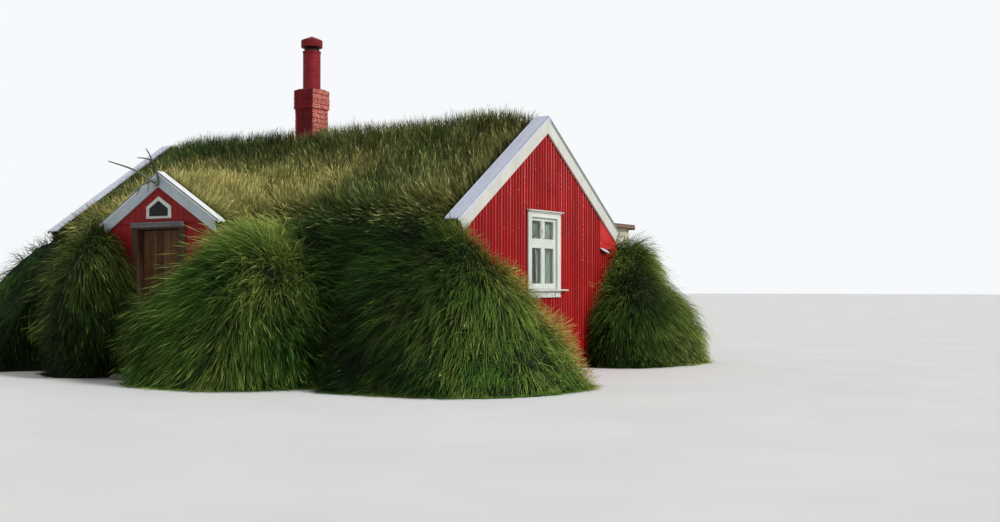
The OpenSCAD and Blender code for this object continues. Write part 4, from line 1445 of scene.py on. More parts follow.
def sheet_mesh(low, high, x_out):
    """One course of corrugated sheets, z from low to high or to the roof, with the window's hole."""
    ys = np.linspace(-ROOF_RUN, ROOF_RUN, round(2 * ROOF_RUN / SHEET_PITCH * SHEET_STEPS) + 1)
    for edge in (*HOLE_Y, 0.0):
        ys[np.argmin(np.abs(ys - edge))] = edge
    points = []
    index = {}
    faces = []

    def spot(y, z):
        key = (round(float(y), 5), round(float(z), 5))
        if key not in index:
            wave = SHEET_DEEP / 2 * (1 - math.cos(2 * math.pi * y / SHEET_PITCH))
            index[key] = len(points)
            points.append((x_out - wave, y, z))
        return index[key]

    for a, b in zip(ys, ys[1:]):
        for foot, top in sheet_spans(a, b, low, high):
            rows = [foot + (top - foot) * k / SHEET_ROWS for k in range(SHEET_ROWS + 1)]
            for z, above in zip(rows, rows[1:]):
                faces.append([spot(a, z[0]), spot(b, z[1]), spot(b, above[1]), spot(a, above[0])])
    points = np.array(points)
    points[:, 0] += (field(points, 0.5, SHEET_SEED) - 0.5) * SHEET_WAVER
    mesh = bpy.data.meshes.new("sheet")
    mesh.from_pydata(points.tolist(), [], faces)
    thick = applied(mesh, "SOLIDIFY", thickness=SHEET_T, offset=-1)
    sharpen(thick)
    return thick


def make_gable_sheets(finish):
    """Two courses on each gable, the upper one lapped over the lower."""
    for side, name in GABLES:
        for course, low, high, out in COURSES:
            mesh = sheet_mesh(low, high, CLAD_X + out)
            if side < 0:
                mesh.transform(Matrix.Scale(-1, 4, (1, 0, 0)))
                mesh.flip_normals()
            piece(f"gable_sheet_{name}_{course}", mesh, finish, [f"gable_sheet_{name}"])


def make_gable_fixings(finish, flat_red, pale):
    """Screw heads on the crests, and the flat patch and flashing at the right gable's rear foot."""
    screws = Form(41)
    for z, k in itertools.product(SCREW_ROWS, SCREW_COLUMNS):
        y = k * SHEET_PITCH
        at_window = abs(y - WINDOW_Y) < SCREW_FREE_Y and SCREW_FREE_Z[0] < z < SCREW_FREE_Z[1]
        if z <= roof_z(y, SCREW_ROOF_GAP) and not at_window:
            for side in (1, -1):
                screws.nail((side * (CLAD_X + 0.0015), y, z), (side, 0, 0), *SCREW_SIZE)
    screws.make("gable_screws", finish, "red_iron")
    patch = Form(42)
    face = CLAD_X + PATCH_T
    patch.prism("x", PATCH, CLAD_X, face, 0.0008, 0.5)
    patch.prism("x", PATCH_LATH, face, face + LATH_T, 0.002, 1.0)
    patch.make("gable_patch", flat_red, "red_iron")
    flash = Form(43)
    points = [(CLAD_X + x, y, z - drop) for drop in (0, 0.004) for x, y, z in FLASHING]
    flash.hull(points, FLASHING_FACES, 0.0, 0.9)
    flash.make("gable_flashing", pale, "metal_capping")


# Gable boards and cappings
VERGE_W = 0.19
VERGE_JOINT = 1.32
VERGE_GAP = 0.0015
VERGE_NAILS = (0.07, 0.15)
NAIL_MARGIN = 0.1
NAIL_STEP = 0.44
CAP_ENDS = (0.0, 0.86, 1.6, ROOF_RUN + 0.03)
CAP_X = (GABLE_X - 0.2, GABLE_X + 0.006)
CAP_UP = 0.0135
CAP_LAP = 0.0006
CAP_DROP = 0.03
CAP_LIP = (0.012, 0.006)


def verge_outline(side, is_foot):
    """One of the two boards of a slope. The lower one is cut square at its foot."""
    a = VERGE_JOINT + VERGE_GAP if is_foot else 0.0
    b = ROOF_RUN if is_foot else VERGE_JOINT - VERGE_GAP
    outline = under_roof(side, a, b, 0, VERGE_W)
    if is_foot:
        foot_z = EAVES_Z - VERGE_W * math.cos(ROOF_SLOPE)
        outline[2] = (side * (b - VERGE_W * math.sin(ROOF_SLOPE)), foot_z)
    return outline


def make_verges(white, cap):
    boards, caps = Form(51), Form(52)
    nails = np.arange(NAIL_MARGIN, ROOF_RUN - NAIL_MARGIN, NAIL_STEP)
    for side_x, side_y in itertools.product((1, -1), (1, -1)):
        for is_foot in (False, True):
            outline = verge_outline(side_y, is_foot)
            boards.prism("x", outline, side_x * CLAD_X, side_x * GABLE_X, 0.003)
        for y, depth in itertools.product(nails, VERGE_NAILS):
            spot = (side_x * (GABLE_X + 0.0005), side_y * y, roof_z(y, depth))
            boards.nail(spot, (side_x, 0, 0), 0.005)
        x_in, x_out = side_x * CAP_X[0], side_x * CAP_X[1]
        for k in range(3):
            a = CAP_ENDS[k]
            b = CAP_ENDS[k + 1] - (0.001 if k < 2 else 0)
            high = -CAP_UP + CAP_LAP * k
            caps.prism("x", under_roof(side_y, a, b, high, -0.0004), x_in, x_out, 0.003)
            front = under_roof(side_y, a, b, high, CAP_DROP)
            caps.prism("x", front, side_x * (GABLE_X + 0.0005), x_out, 0.0015, caps.tints[-1])
            back = under_roof(side_y, a, b, high - CAP_LIP[1], high)
            caps.prism("x", back, x_in, x_in + side_x * CAP_LIP[0], 0.002, caps.tints[-1])
    boards.stand_for("verge_boards", white, "white_boards")
    caps.stand_for("verge_caps", cap, "metal_capping")


# Gable windows
CASING_W = 0.098
CASING_T = 0.022
CASING_FOOT = 0.024
APRON_Z = (-0.114, -0.025)
APRON_LATH_Z = -0.04
HOOD_Z = 0.042
HOOD_BED = 0.022
HOOD_H = 0.019
LINING_X = 3.55
SASH_X = CLAD_X - 0.010
SASH_T = 0.034
STILE_W = 0.058
MULLION_W = 0.096
PANE_X = SASH_X - 0.013
RAIL_TOP = 0.044
RAIL_BOTTOM = 0.076
TRANSOM_H = 0.125
SASH_GAP = 0.002
GLASS_T = 0.004
PUTTY_LAP = 0.006
ROD_R = 0.006
ROD_DROP = 0.034
PANE_TOP_H = 0.247
PANE_TOP = WINDOW_Z + WINDOW_H - RAIL_TOP
TRANSOM_Z = PANE_TOP - PANE_TOP_H - TRANSOM_H
PANE_ROWS = ((WINDOW_Z + RAIL_BOTTOM, TRANSOM_Z), (TRANSOM_Z + TRANSOM_H, PANE_TOP))
ROD_X = 3.596
HOOD_TOP = ((0, 0.043), (0.048, 0.041), (0.052, 0.044), (0.052, 0.056), (0, 0.064))
SILL = ((0, -0.024), (0.07, -0.024), (0.07, -0.006), (0, -0.001))


def make_casing(form, y0, y1, z0, z1):
    """The lining of the hole, the boards round it, the hood over it and the sill."""
    side0, side1 = y0 - CASING_W, y1 + CASING_W
    face = CLAD_X + CASING_T
    for y in ((y0 - WINDOW_BOX, y0), (y1, y1 + WINDOW_BOX)):
        form.block((LINING_X, CLAD_X), y, (z0 - WINDOW_BOX, z1 + WINDOW_BOX))
    for z in ((z0 - WINDOW_BOX, z0), (z1, z1 + WINDOW_BOX)):
        form.block((LINING_X, CLAD_X), (y0, y1), z)
    hood = z1 + HOOD_Z
    for y in ((side0, y0), (y1, side1)):
        form.block((CLAD_X, face), y, (z0 - CASING_FOOT, hood), 0.003)
        for z in (z0 + 0.1, z0 + 0.5, z1 - 0.08):
            form.nail((face, sum(y) / 2, z), (1, 0, 0))
    form.block((CLAD_X, face), (y0 + 0.001, y1 - 0.001), (z1, hood), 0.003)
    bed = (hood, hood + HOOD_BED)
    form.block((CLAD_X, face - 0.006), (side0 + 0.004, side1 - 0.002), bed, 0.003)
    cornice = (bed[1] + 0.001, bed[1] + 0.001 + HOOD_H)
    form.block((CLAD_X, face + 0.01), (side0 - 0.004, side1 + 0.012), cornice, 0.004)
    drip = [(CLAD_X + x, hood + z) for x, z in HOOD_TOP]
    form.prism("y", drip, side0 - 0.015, side1 + 0.045, 0.0015)
    sill = [(CLAD_X + x, z0 + z) for x, z in SILL]
    form.prism("y", sill, side0 - 0.005, side1 + 0.15, 0.003, 0.2)
    low, high = (z0 + level for level in APRON_Z)
    form.block((CLAD_X, face), (side0, side1), (low, high), 0.003, 0.1)
    lath = (z0 + APRON_LATH_Z, high)
    form.block((CLAD_X, face + 0.01), (side0 + 0.01, side1 - 0.01), lath, 0.002, 0.1)


def make_sash(form, y0, y1, z0, z1):
    """Stiles, rails, posts, putty and the lath over the middle."""
    back = SASH_X - SASH_T
    inner0, inner1 = y0 + STILE_W, y1 - STILE_W
    post0 = WINDOW_Y - MULLION_W / 2
    post1 = post0 + MULLION_W
    foot, head = z0 + SASH_GAP, z1 - SASH_GAP
    for y in ((y0 + SASH_GAP, inner0), (inner1, y1 - SASH_GAP)):
        form.block((back, SASH_X), y, (foot, head), 0.003)
    levels = [foot, *PANE_ROWS[0], *PANE_ROWS[1], head]
    for rail in zip(levels[::2], levels[1::2]):
        form.block((back, SASH_X - 0.001), (inner0, inner1), rail, 0.003)
    for row in PANE_ROWS:
        form.block((back, SASH_X - 0.001), (post0, post1), row, 0.003)
        for y in ((inner0, post0), (post1, inner1)):
            putty(form, *y, *row)
    lath = (WINDOW_Y - 0.008, WINDOW_Y + 0.008)
    form.block((SASH_X - 0.004, SASH_X + 0.003), lath, (z0 + 0.01, z1 - 0.01), 0.002, 0.8)


def putty(form, y0, y1, z0, z1):
    """Putty strips round a pane, sloping to the glass."""
    inner = PANE_X + 0.002
    points = []
    for x, d in ((SASH_X - 0.003, 0), (inner, 0.004), (inner - 0.001, 0)):
        points += [(x, y0 + d, z0 + d), (x, y1 - d, z0 + d), (x, y1 - d, z1 - d), (x, y0 + d, z1 - d)]
    faces = []
    for a, b in ((0, 4), (4, 8), (8, 0)):
        for k in range(4):
            n = (k + 1) % 4
            faces.append([a + k, a + n, b + n, b + k])
    form.hull(points, faces, 0.0, 0.6)


def make_windows(white, glass, dark_glass):
    form = Form(61)
    hole = (WINDOW_Y - WINDOW_W / 2, WINDOW_Y + WINDOW_W / 2, WINDOW_Z, WINDOW_Z + WINDOW_H)
    make_casing(form, *hole)
    make_sash(form, *hole)
    rod_z = hole[3] - ROD_DROP
    form.tube([(ROD_X, y, rod_z) for y in (hole[0], WINDOW_Y, hole[1])], ROD_R, ROD_R, 8)
    other = form.mirrored()
    form.stand_for("window_right", white, "white_boards")
    other.stand_for("window_left", white, "white_boards")
    panes = Form(62)
    half = MULLION_W / 2 - 0.004
    wide = WINDOW_W / 2 - STILE_W
    for row in PANE_ROWS:
        for y in ((WINDOW_Y - wide, WINDOW_Y - half), (WINDOW_Y + half, WINDOW_Y + wide)):
            panes.block((PANE_X - GLASS_T / 2, PANE_X + GLASS_T / 2), y, row, 0.0)
    panes.join(panes.mirrored())
    panes.make("window_panes", glass, "window_glass", ["window_glass"])
    pane = Form(64)
    front = PORCH_CLAD_Y - 2 * GLASS_T
    pane.prism("y", pent_points(PENT_BAR - PUTTY_LAP), front, front + GLASS_T, 0.0)
    pane.make("porch_pane", dark_glass, "window_glass", ["window_glass"])


def set_finish(material, *names):
    """Gives kept CAD nodes their finish."""
    for name in names:
        NODES[name].data.materials.clear()
        NODES[name].data.materials.append(material)


# Curtains
CURTAIN_TOP = 2.092
CURTAIN_FOOT = 1.162
CURTAIN_H = CURTAIN_TOP - CURTAIN_FOOT
CURTAINS = {"wide": (-0.295, 0.06), "narrow": (0.075, 0.356)}
CURTAIN_GRID = (72, 20)
PLEAT = 0.058
FULLNESS = 1.1
SCALLOP = 0.032


def pleat_depth(width, flat, waves):
    """How deep the pleats are when a flat width of cloth is gathered to a narrower one."""
    share = np.linspace(0, 1, 400)
    low, high = 0.0, 0.04
    for _ in range(20):
        depth = (low + high) / 2
        wave = depth * np.sin(2 * math.pi * waves * share)
        size = np.hypot(np.diff(share * width), np.diff(wave)).sum()
        if size < flat:
            low = depth
        else:
            high = depth
    return depth


def drawn_back(row):
    """How far the wide curtain's free edge is drawn back. row is 0 at the foot and 1 at the rod."""
    return float(0.03 + 0.12 * ease(1 - row, 0.12, 0.3) + 0.05 * (1 - row))


def curtain_rows(name, side):
    """Rows of points from the foot up, and how much of the lace edge each point has."""
    y0, y1 = CURTAINS[name]
    across, down = CURTAIN_GRID
    waves = (y1 - y0) / PLEAT
    rows = []
    trim = []
    for j in range(down + 1):
        row = j / down
        z = CURTAIN_FOOT + CURTAIN_H * j / down
        left = y0 + (drawn_back(row) if name == "wide" else 0.0)
        depth = pleat_depth(y1 - left, (y1 - y0) * FULLNESS, waves)
        points = []
        for k in range(across + 1):
            share = k / across
            wave = math.sin(2 * math.pi * share * waves + 0.5 * math.sin(3 * row))
            lean = 0.85 + 0.15 * math.sin(9.3 * share + 1.7 * row)
            scallop = 0.007 * abs(math.sin(math.pi * z / SCALLOP)) * max(0, 1 - share * 14)
            y = WINDOW_Y + left + (y1 - left) * share + scallop
            points.append(Vector((side * (ROD_X + depth * wave * lean), y, z)))
            trim.append(max(0.0, 1 - share * 9) if k % 2 else max(0.0, 0.7 - share * 9))
        rows.append(points)
    return rows, trim


def make_curtains(finish):
    """Pleated cloth, one sheet each, with a lace edge."""
    across, down = CURTAIN_GRID
    faces = []
    for j, k in itertools.product(range(down), range(across)):
        a = j * (across + 1) + k
        faces.append([a, a + 1, a + across + 2, a + across + 1])
    for (side, gable), name in itertools.product(GABLES, CURTAINS):
        rows, trim = curtain_rows(name, side)
        mesh = bpy.data.meshes.new("curtain")
        mesh.from_pydata([point for row in rows for point in row], [], faces)
        mesh.attributes.new("tint", "FLOAT", "POINT").data.foreach_set("value", trim)
        mesh.polygons.foreach_set("use_smooth", [True] * len(faces))
        cloth = piece(f"curtain_{gable}_{name}", mesh, finish, ["curtains"])
        solid = cloth.modifiers.new("thickness", "SOLIDIFY")
        solid.thickness = 0.0008
        solid.offset = 0


# Porch
PORCH_FRONT = 0.95
SEAM_Z = 2.0
DOOR_HALF = 0.38
FRAME_HALF = DOOR_HALF + 0.09
PENT_Z = 2.074
PENT_HALF = 0.22
PENT_SIDE = 0.155
PENT_H = 0.288
PENT_BAR = 0.046
PENT_RISE = (PENT_H - PENT_SIDE) / PENT_HALF
PORCH_BED = 0.1452
PORCH_IN_Y = -3.3
PORCH_CLAD_Y = -3.425
PORCH_KNEE = (PORCH_RIDGE_Z - PORCH_BED / math.cos(PORCH_SLOPE) - SEAM_Z) / math.tan(PORCH_SLOPE)
LOW_CUTS = (FRAME_HALF, 0.585, 0.695, PORCH_KNEE, PORCH_FRONT)
HIGH_CUTS = (0.0, 0.11, 0.22, 0.33, 0.44, 0.55, 0.66, PORCH_KNEE)
BOARD_GAP = 0.002
BOARD_BEVEL = 0.004
SEAM_GAP = 0.004
PORCH_VERGE_W = 0.15
PORCH_NAILS = ((0.08, 0.3, 0.52, 0.74, 0.95), (0.05, 0.115))
PORCH_CAP_OUT = 0.075
PORCH_CAP_Y = (PORCH_Y - 0.005, PORCH_Y + 0.11)
PORCH_CAP_Z = (0.014, -0.0004, -0.022)


def make_porch_boards(finish):
    """Upright red boards beside the door and over it, cut out for the small window."""
    low, high = Form(71), Form(72)
    thick = (PORCH_CLAD_Y, PORCH_IN_Y, BOARD_BEVEL)
    for side in (1, -1):
        for a, b in zip(LOW_CUTS, LOW_CUTS[1:]):
            x = [PORCH_X + side * a, PORCH_X + side * b]
            tops = [min(SEAM_Z, porch_z(v, PORCH_BED)) for v in x]
            x[1] -= side * BOARD_GAP
            low.prism("y", quad(x, (0, 0), tops), *thick)
        for a, b in zip(HIGH_CUTS, HIGH_CUTS[1:]):
            x = [PORCH_X + side * a, PORCH_X + side * (b - BOARD_GAP)]
            feet = [SEAM_Z + SEAM_GAP] * 2
            if b <= PENT_HALF + 1e-6:
                high.prism("y", quad(x, feet, [PENT_Z] * 2), *thick)
                feet = [PENT_Z + PENT_H - PENT_RISE * v for v in (a, b - BOARD_GAP)]
            high.prism("y", quad(x, feet, [porch_z(v, PORCH_BED) for v in x]), *thick)
    low.make("porch_front_boards", finish, "red_boards", ["porch_front"])
    high.make("porch_gable_boards", finish, "red_boards", ["porch_gable"])


def make_porch_verges(white, cap):
    boards, caps = Form(73), Form(74)
    for side in (1, -1):
        x = [PORCH_X + side * 0.001, PORCH_X + side * PORCH_RUN]
        boards.prism("y", under_porch_roof(x, PORCH_VERGE_W, 0), PORCH_Y, PORCH_CLAD_Y, 0.003)
        for share, depth in itertools.product(*PORCH_NAILS):
            spot = PORCH_X + side * PORCH_RUN * share
            boards.nail((spot, PORCH_Y - 0.0005, porch_z(spot, depth)), (0, -1, 0), 0.005)
        x = [PORCH_X, PORCH_X + side * (PORCH_RUN + PORCH_CAP_OUT)]
        drop, bed, top = PORCH_CAP_Z
        caps.prism("y", under_porch_roof(x, bed, top), *PORCH_CAP_Y, 0.004)
        front = under_porch_roof(x, drop, top)
        caps.prism("y", front, PORCH_CAP_Y[0], PORCH_Y - 0.0005, 0.0015, caps.tints[-1])
    boards.stand_for("porch_verge_boards", white, "white_boards")
    caps.stand_for("porch_verge_caps", cap, "metal_capping")


# Each bar of the small window: its share of the full width, how far it reaches and its bevel
PENT_BARS = ((0, 0.013, 0.012, 0.0025), (0.72, 0.016, -0.013, 0.0012))


def pent_points(bar):
    """The small window's outline, or a smaller one inside it by the width of a bar."""
    half = PENT_HALF - bar
    pitch = math.atan(PENT_RISE)
    tip = PENT_Z + PENT_H - bar / math.cos(pitch)
    low = PENT_Z + bar * 0.65
    knee = tip - half * math.tan(pitch)
    outline = ((-half, low), (half, low), (half, knee), (0, tip), (-half, knee))
    return [(PORCH_X + x, z) for x, z in outline]


def make_porch_window(white):
    form = Form(75)
    inner = pent_points(PENT_BAR)
    for k in range(5):
        n = (k + 1) % 5
        for bar, front, back, bevel in PENT_BARS:
            outer = pent_points(PENT_BAR * bar)
            outline = [outer[k], outer[n], inner[n], inner[k]]
            form.prism("y", outline, PORCH_CLAD_Y - front, PORCH_CLAD_Y + back, bevel)
    form.stand_for("porch_window", white, "white_boards")


# The bare board over the door and its two laths: inset at both ends, depth, z, bevel and tint
SIGN_PARTS = (
    (0, 0, 0.022, (1.963, 2.023), 0.004, 0.5),
    (0, 0, 0.025, (2.008, 2.026), 0.003, 0.95),
    (0.002, 0.003, 0.025, (1.96, 1.968), 0.002, 0.8),
)


def make_sign(finish):
    form = Form(76)
    left, right = PORCH_X - FRAME_HALF, PORCH_X + FRAME_HALF
    for inset0, inset1, depth, z, bevel, tint in SIGN_PARTS:
        form.block((left + inset0, right - inset1), (PORCH_Y - depth, PORCH_Y), z, bevel, tint)
    for x in (left + 0.03, right - 0.03):
        form.nail((x, PORCH_Y - 0.0222, 1.99), (0, -1, 0), 0.006)
    form.stand_for("sign_board", finish, "grey_wood")


# Door
LEAF_X = (-0.575, 0.171)
LEAF_Y = (-3.335, -3.3)
LEAF_Z = (0.058, 1.927)
HINGE_Z = (0.35, 1.55)
HEAD_BAR_Z = 1.935
STOP_Y = -3.34
STOP_T = 0.014
SILL_H = 0.05
FRAME_DEPTH = 0.15
PLANK_GAP = 0.0015
LEDGE = (0.062, 0.172, 0.022)
NAILS_UP = (0.09, 0.145)
PLANKS = ((0.118, 0.0), (0.131, 0.002), (0.122, 0.0), (0.128, 0.003), (0.119, 0.001), (0.128, 0.0))


def make_door_frame(finish, stop_finish):
    form, stops = Form(81), Form(83)
    deep = (PORCH_Y, PORCH_Y + FRAME_DEPTH)
    for side in (1, -1):
        a, b, s = (PORCH_X + side * out for out in (DOOR_HALF, FRAME_HALF, DOOR_HALF - STOP_T))
        form.block((a, b), deep, (0, HEAD_BAR_Z), 0.003)
        stops.block((a, s), (PORCH_Y + 0.002, STOP_Y), (SILL_H, HEAD_BAR_Z - 0.001), 0.003, 0.0)
    form.block((PORCH_X - FRAME_HALF, PORCH_X + FRAME_HALF), deep, (HEAD_BAR_Z, SEAM_Z), 0.003)
    form.block((PORCH_X - DOOR_HALF, PORCH_X + DOOR_HALF), deep, (0, SILL_H), 0.005, 0.1)
    form.stand_for("door_frame", finish, "grey_wood")
    stops.make("door_stops_new", stop_finish, "grey_wood", ["door_frame"])


def make_door(finish):
    """Six upright planks with two ledges behind. Each plank has its width and how proud it is."""
    form = Form(82)
    widths, proud = zip(*PLANKS)
    cuts = np.concatenate([[0], np.cumsum(widths)]) / np.sum(widths)
    cuts = LEAF_X[0] + cuts * (LEAF_X[1] - LEAF_X[0])
    for k in range(6):
        x = (cuts[k] + (PLANK_GAP if k else 0), cuts[k + 1] - (PLANK_GAP if k < 5 else 0))
        front = LEAF_Y[0] + 0.003 - proud[k]
        form.block(x, (front, LEAF_Y[1]), LEAF_Z, 0.004)
        for z, up in itertools.product(HINGE_Z, NAILS_UP):
            middle = (cuts[k] + cuts[k + 1]) / 2
            form.nail((middle, front - 0.0003, z + up), (0, -1, 0), 0.005)
    foot, head, thick = LEDGE
    for z in HINGE_Z:
        x = (LEAF_X[0] + 0.06, LEAF_X[1] - 0.04)
        form.block(x, (LEAF_Y[1], LEAF_Y[1] + thick), (z + foot, z + head), 0.006)
    form.make("door_leaf_planks", finish, "door_wood", ["door_leaf"], "door")


# Antlers. Each line has its radius at both ends and its points, in millimetres from the seat
ANTLER_SEAT = Vector((PORCH_X, PORCH_Y, PORCH_RIDGE_Z - 0.143))
ANTLERS = (
    (17, 7, "-15 -18 10, -100 -85 73, -180 -160 150, -270 -245 206, -350 -345 245, -420 -450 282"),
    (17, 6, "15 -18 0, 70 -60 80, 120 -140 144, 170 -220 210, 220 -310 270, 280 -410 335, 330 -515 397"),
    (10, 6, "220 -310 270, 180 -400 290, 130 -470 293"),
    (12, 8, "-60 -50 45, -100 -180 -30, -120 -310 -122"),
    (10, 6, "-100 -180 -30, -75 -260 -110, -60 -307 -157"),
    (9, 5, "-80 -70 58, -50 -110 -50, -40 -140 -112"),
    (9, 5, "50 -45 50, 55 -90 -20, 50 -118 -82"),
)
KNOB = ((0, 0), (0.03, 0), (0.04, 0.008), (0.042, 0.016), (0.034, 0.026), (0.018, 0.034), (0, 0.036))


def make_antlers(finish):
    form = Form(91)
    for r0, r1, line in ANTLERS:
        spots = [Vector([float(v) for v in spot.split()]) for spot in line.split(",")]
        form.tube([ANTLER_SEAT + spot / 1000 for spot in spots], r0 / 1000, r1 / 1000, 10, 0.12)
    form.turned(aimed(ANTLER_SEAT + Vector((0, 0, 0.01)), (0, -1, 0)), KNOB, 20, 0.3)
    form.stand_for("antlers", finish, "antler")


# Chimney
CHIMNEY_X = -0.48
SHAFT_HALF = 0.184
HEAD_HALF = 0.2
HEAD_Z = 3.93
STACK_Z = 4.23
PIPE_TOP = 4.9
PIPE_R = 0.136
PIPE_FOOT = ((0, 0), (0.144, 0), (0.144, 0.03), (PIPE_R, 0.036))
PIPE_BANDS = (4.44, 4.66)
PIPE_BAND = ((0, -0.006), (-0.004, -0.003), (-0.004, 0.003), (0, 0.006))
PIPE_HEAD = ((PIPE_R, 4.81), (0.142, 4.814), (0.142, 4.842), (0.134, 4.848), (0.118, 4.85))
PIPE_HEAD += ((0.114, PIPE_TOP), (0, PIPE_TOP))
LID = ((0, 0), (0.12, 0), (0.154, 0), (0.162, 0.004), (0.166, 0.012), (0.166, 0.112))
LID += ((0.16, 0.118), (0.022, 0.176), (0, 0.183))
STACK_CAP = ((-0.004, 0.188), (0.024, 0.142))
CORE_INSET = 0.008
BRICK = dict(axis="x", tall=0.075, length=0.19, joint=0.004, proud=0.006, bevel=0.006)
BLOCK = dict(axis="y", tall=0.15, length=0.3, joint=0.002, proud=0.0015, bevel=0.003)


def masonry_courses(form, half, z0, z1, axis, tall, length, joint, proud, bevel):
    """Blocks in bond on both faces of a square shaft that look along an axis."""
    count = max(1, round((z1 - z0) / tall))
    tall = (z1 - z0) / count
    for row, sign in itertools.product(range(count), (1, -1)):
        z = (z0 + row * tall + joint / 2, z0 + (row + 1) * tall - joint / 2)
        cuts = [-half]
        spot = -half + length * (0.55 if row % 2 else 1.0)
        while spot < half - 0.04:
            cuts.append(spot)
            spot += length * (0.9 + 0.2 * form.rng.random())
        cuts.append(half)
        for a, b in zip(cuts, cuts[1:]):
            a += joint / 2 if a > -half else 0
            b -= joint / 2 if b < half else 0
            face = (sign * (half - 0.03), sign * (half - form.rng.random() * proud))
            if axis == "x":
                x, y = face, (a, b)
            else:
                x, y = (max(a, 0.031 - half), min(b, half - 0.031)), face
                a, b = x
            if b - a > 0.02:
                form.block((CHIMNEY_X + x[0], CHIMNEY_X + x[1]), y, z, bevel)


def make_chimney(bricks, blocks, pipe):
    """Rough brick on the ±X faces, smooth blocks on the ±Y faces, as the photograph shows."""
    rough, smooth = Form(101), Form(102)
    shafts = ((SHAFT_HALF, 0.0, HEAD_Z, HEAD_Z), (HEAD_HALF, HEAD_Z, STACK_Z, STACK_Z - 0.004))
    for half, z0, z1, _ in shafts:
        masonry_courses(rough, half, z0, z1, **BRICK)
        masonry_courses(smooth, half, z0, z1, **BLOCK)
    for half, z0, _, core_z in shafts:
        core = half - CORE_INSET
        smooth.block((CHIMNEY_X - core, CHIMNEY_X + core), (-core, core), (z0, core_z), 0.0, 0.0)
    points = []
    for up, out in STACK_CAP:
        for x, y in ((-1, -1), (1, -1), (1, 1), (-1, 1)):
            points.append((CHIMNEY_X + x * out, y * out, STACK_Z + up))
    smooth.hull(points, prism_faces(4), 0.004, 0.6)
    nodes = ["chimney_shaft", "chimney_head"]
    rough.make("chimney_bricks", bricks, "red_masonry", nodes)
    smooth.make("chimney_blocks", blocks, "red_masonry", nodes)
    profile = [(radius, STACK_Z + up) for radius, up in PIPE_FOOT]
    profile += [(PIPE_R + out, z + up) for z, (out, up) in itertools.product(PIPE_BANDS, PIPE_BAND)]
    turn_pipe("chimney_pipe", 103, profile + list(PIPE_HEAD), 0.8, pipe)
    turn_pipe("chimney_lid", 104, [(radius, PIPE_TOP + up) for radius, up in LID], 0.9, pipe)


def turn_pipe(node, seed, profile, tint, finish):
    form = Form(seed)
    form.turned(Matrix.Translation((CHIMNEY_X, 0, 0)), profile, 48, tint)
    form.stand_for(node, finish, "red_pipe")


# Annexe
ANNEXE_X = (1.89, 3.39)
ANNEXE_Y = 3.3
ANNEXE_START = 2.302
ANNEXE_TOP = 2.12
SHINGLE_H = 0.1325
SHINGLE_ROWS = 16
SHINGLE_LAP = 0.012
SHINGLE_OUT = (0.003, 0.016)
CORNER = (0.07, 0.022, 0.024)
FELT_STRIPS = 3
FASCIA_T = 0.018
FELT_T = 0.006


def make_annexe(pale, felt, fascia):
    boards = Form(111)
    for k in range(SHINGLE_ROWS):
        foot = k * SHINGLE_H
        top = foot + SHINGLE_H + SHINGLE_LAP
        if top > ANNEXE_TOP:
            top = ANNEXE_TOP - 0.001
        lap = [(SHINGLE_OUT[0], top), (SHINGLE_OUT[1], foot), (0.0, foot), (0.0, top)]
        rear = [(ANNEXE_Y + out, z) for out, z in lap]
        boards.prism("x", rear, ANNEXE_X[0] - 0.01, ANNEXE_X[1] + 0.01, 0.0)
        for side, x in zip((-1, 1), ANNEXE_X):
            outline = [(x + side * out, z) for out, z in lap]
            boards.prism("y", outline, ANNEXE_START, ANNEXE_Y + 0.001, 0.0)
    inside, outside, thick = CORNER
    for side, x in zip((-1, 1), ANNEXE_X):
        corner = (x - side * inside, x + side * outside)
        boards.block(corner, (ANNEXE_Y, ANNEXE_Y + thick), (0.0, ANNEXE_TOP), 0.003)
    boards.make("annexe_boards", pale, "pale_boards")
    low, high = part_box("annexe_roof")
    x0, x1, y0, y1 = low.x, high.x, low.y, high.y
    z1 = high.z - FELT_T
    roof = Form(112)
    roof.block((x0 + FASCIA_T, x1 - FASCIA_T), (y0, y1 - FASCIA_T), (low.z, z1), 0.0, 0.3)
    wide = (x1 - x0) / FELT_STRIPS
    for k in range(FELT_STRIPS):
        x = (x0 + k * wide - (0.03 if k else 0), x0 + (k + 1) * wide)
        z = z1 + 0.0015 * k
        roof.block(x, (y0, y1 + 0.004), (z, z + 0.004), 0.0015)
    roof.make("annexe_roof_felt", felt, "annexe_roofing", ["annexe_roof"])
    edge = Form(113)
    edge.block((x0, x1), (y1 - FASCIA_T, y1), (low.z - 0.02, z1), 0.002)
    for x in ((x0, x0 + FASCIA_T), (x1 - FASCIA_T, x1)):
        edge.block(x, (y0, y1 - FASCIA_T), (low.z, z1), 0.002)
    edge.make("annexe_fascia", fascia, "red_boards")


STEP_VOXEL = 0.018
STEP_HOLLOWS = ((0.16, 121, 0.62, 0.03), (0.05, 122, 0.5, 0.006))
STEP_LIMIT = 0.003


def make_doorstep(finish):
    """A worn stone with an uneven top. Hollows have a size, seed, middle and depth."""
    mesh = remeshed("doorstep", STEP_VOXEL)
    points, normals, _, _ = arrays(mesh)
    push = sum((field(points, size, k) - middle) * deep for size, k, middle, deep in STEP_HOLLOWS)
    push = np.minimum(push, STEP_LIMIT) * mask(points, z=(0.0, FOOT_Z))
    move_points(mesh, points + normals * push[:, None])
    piece("doorstep_stone", mesh, finish, ["doorstep"])


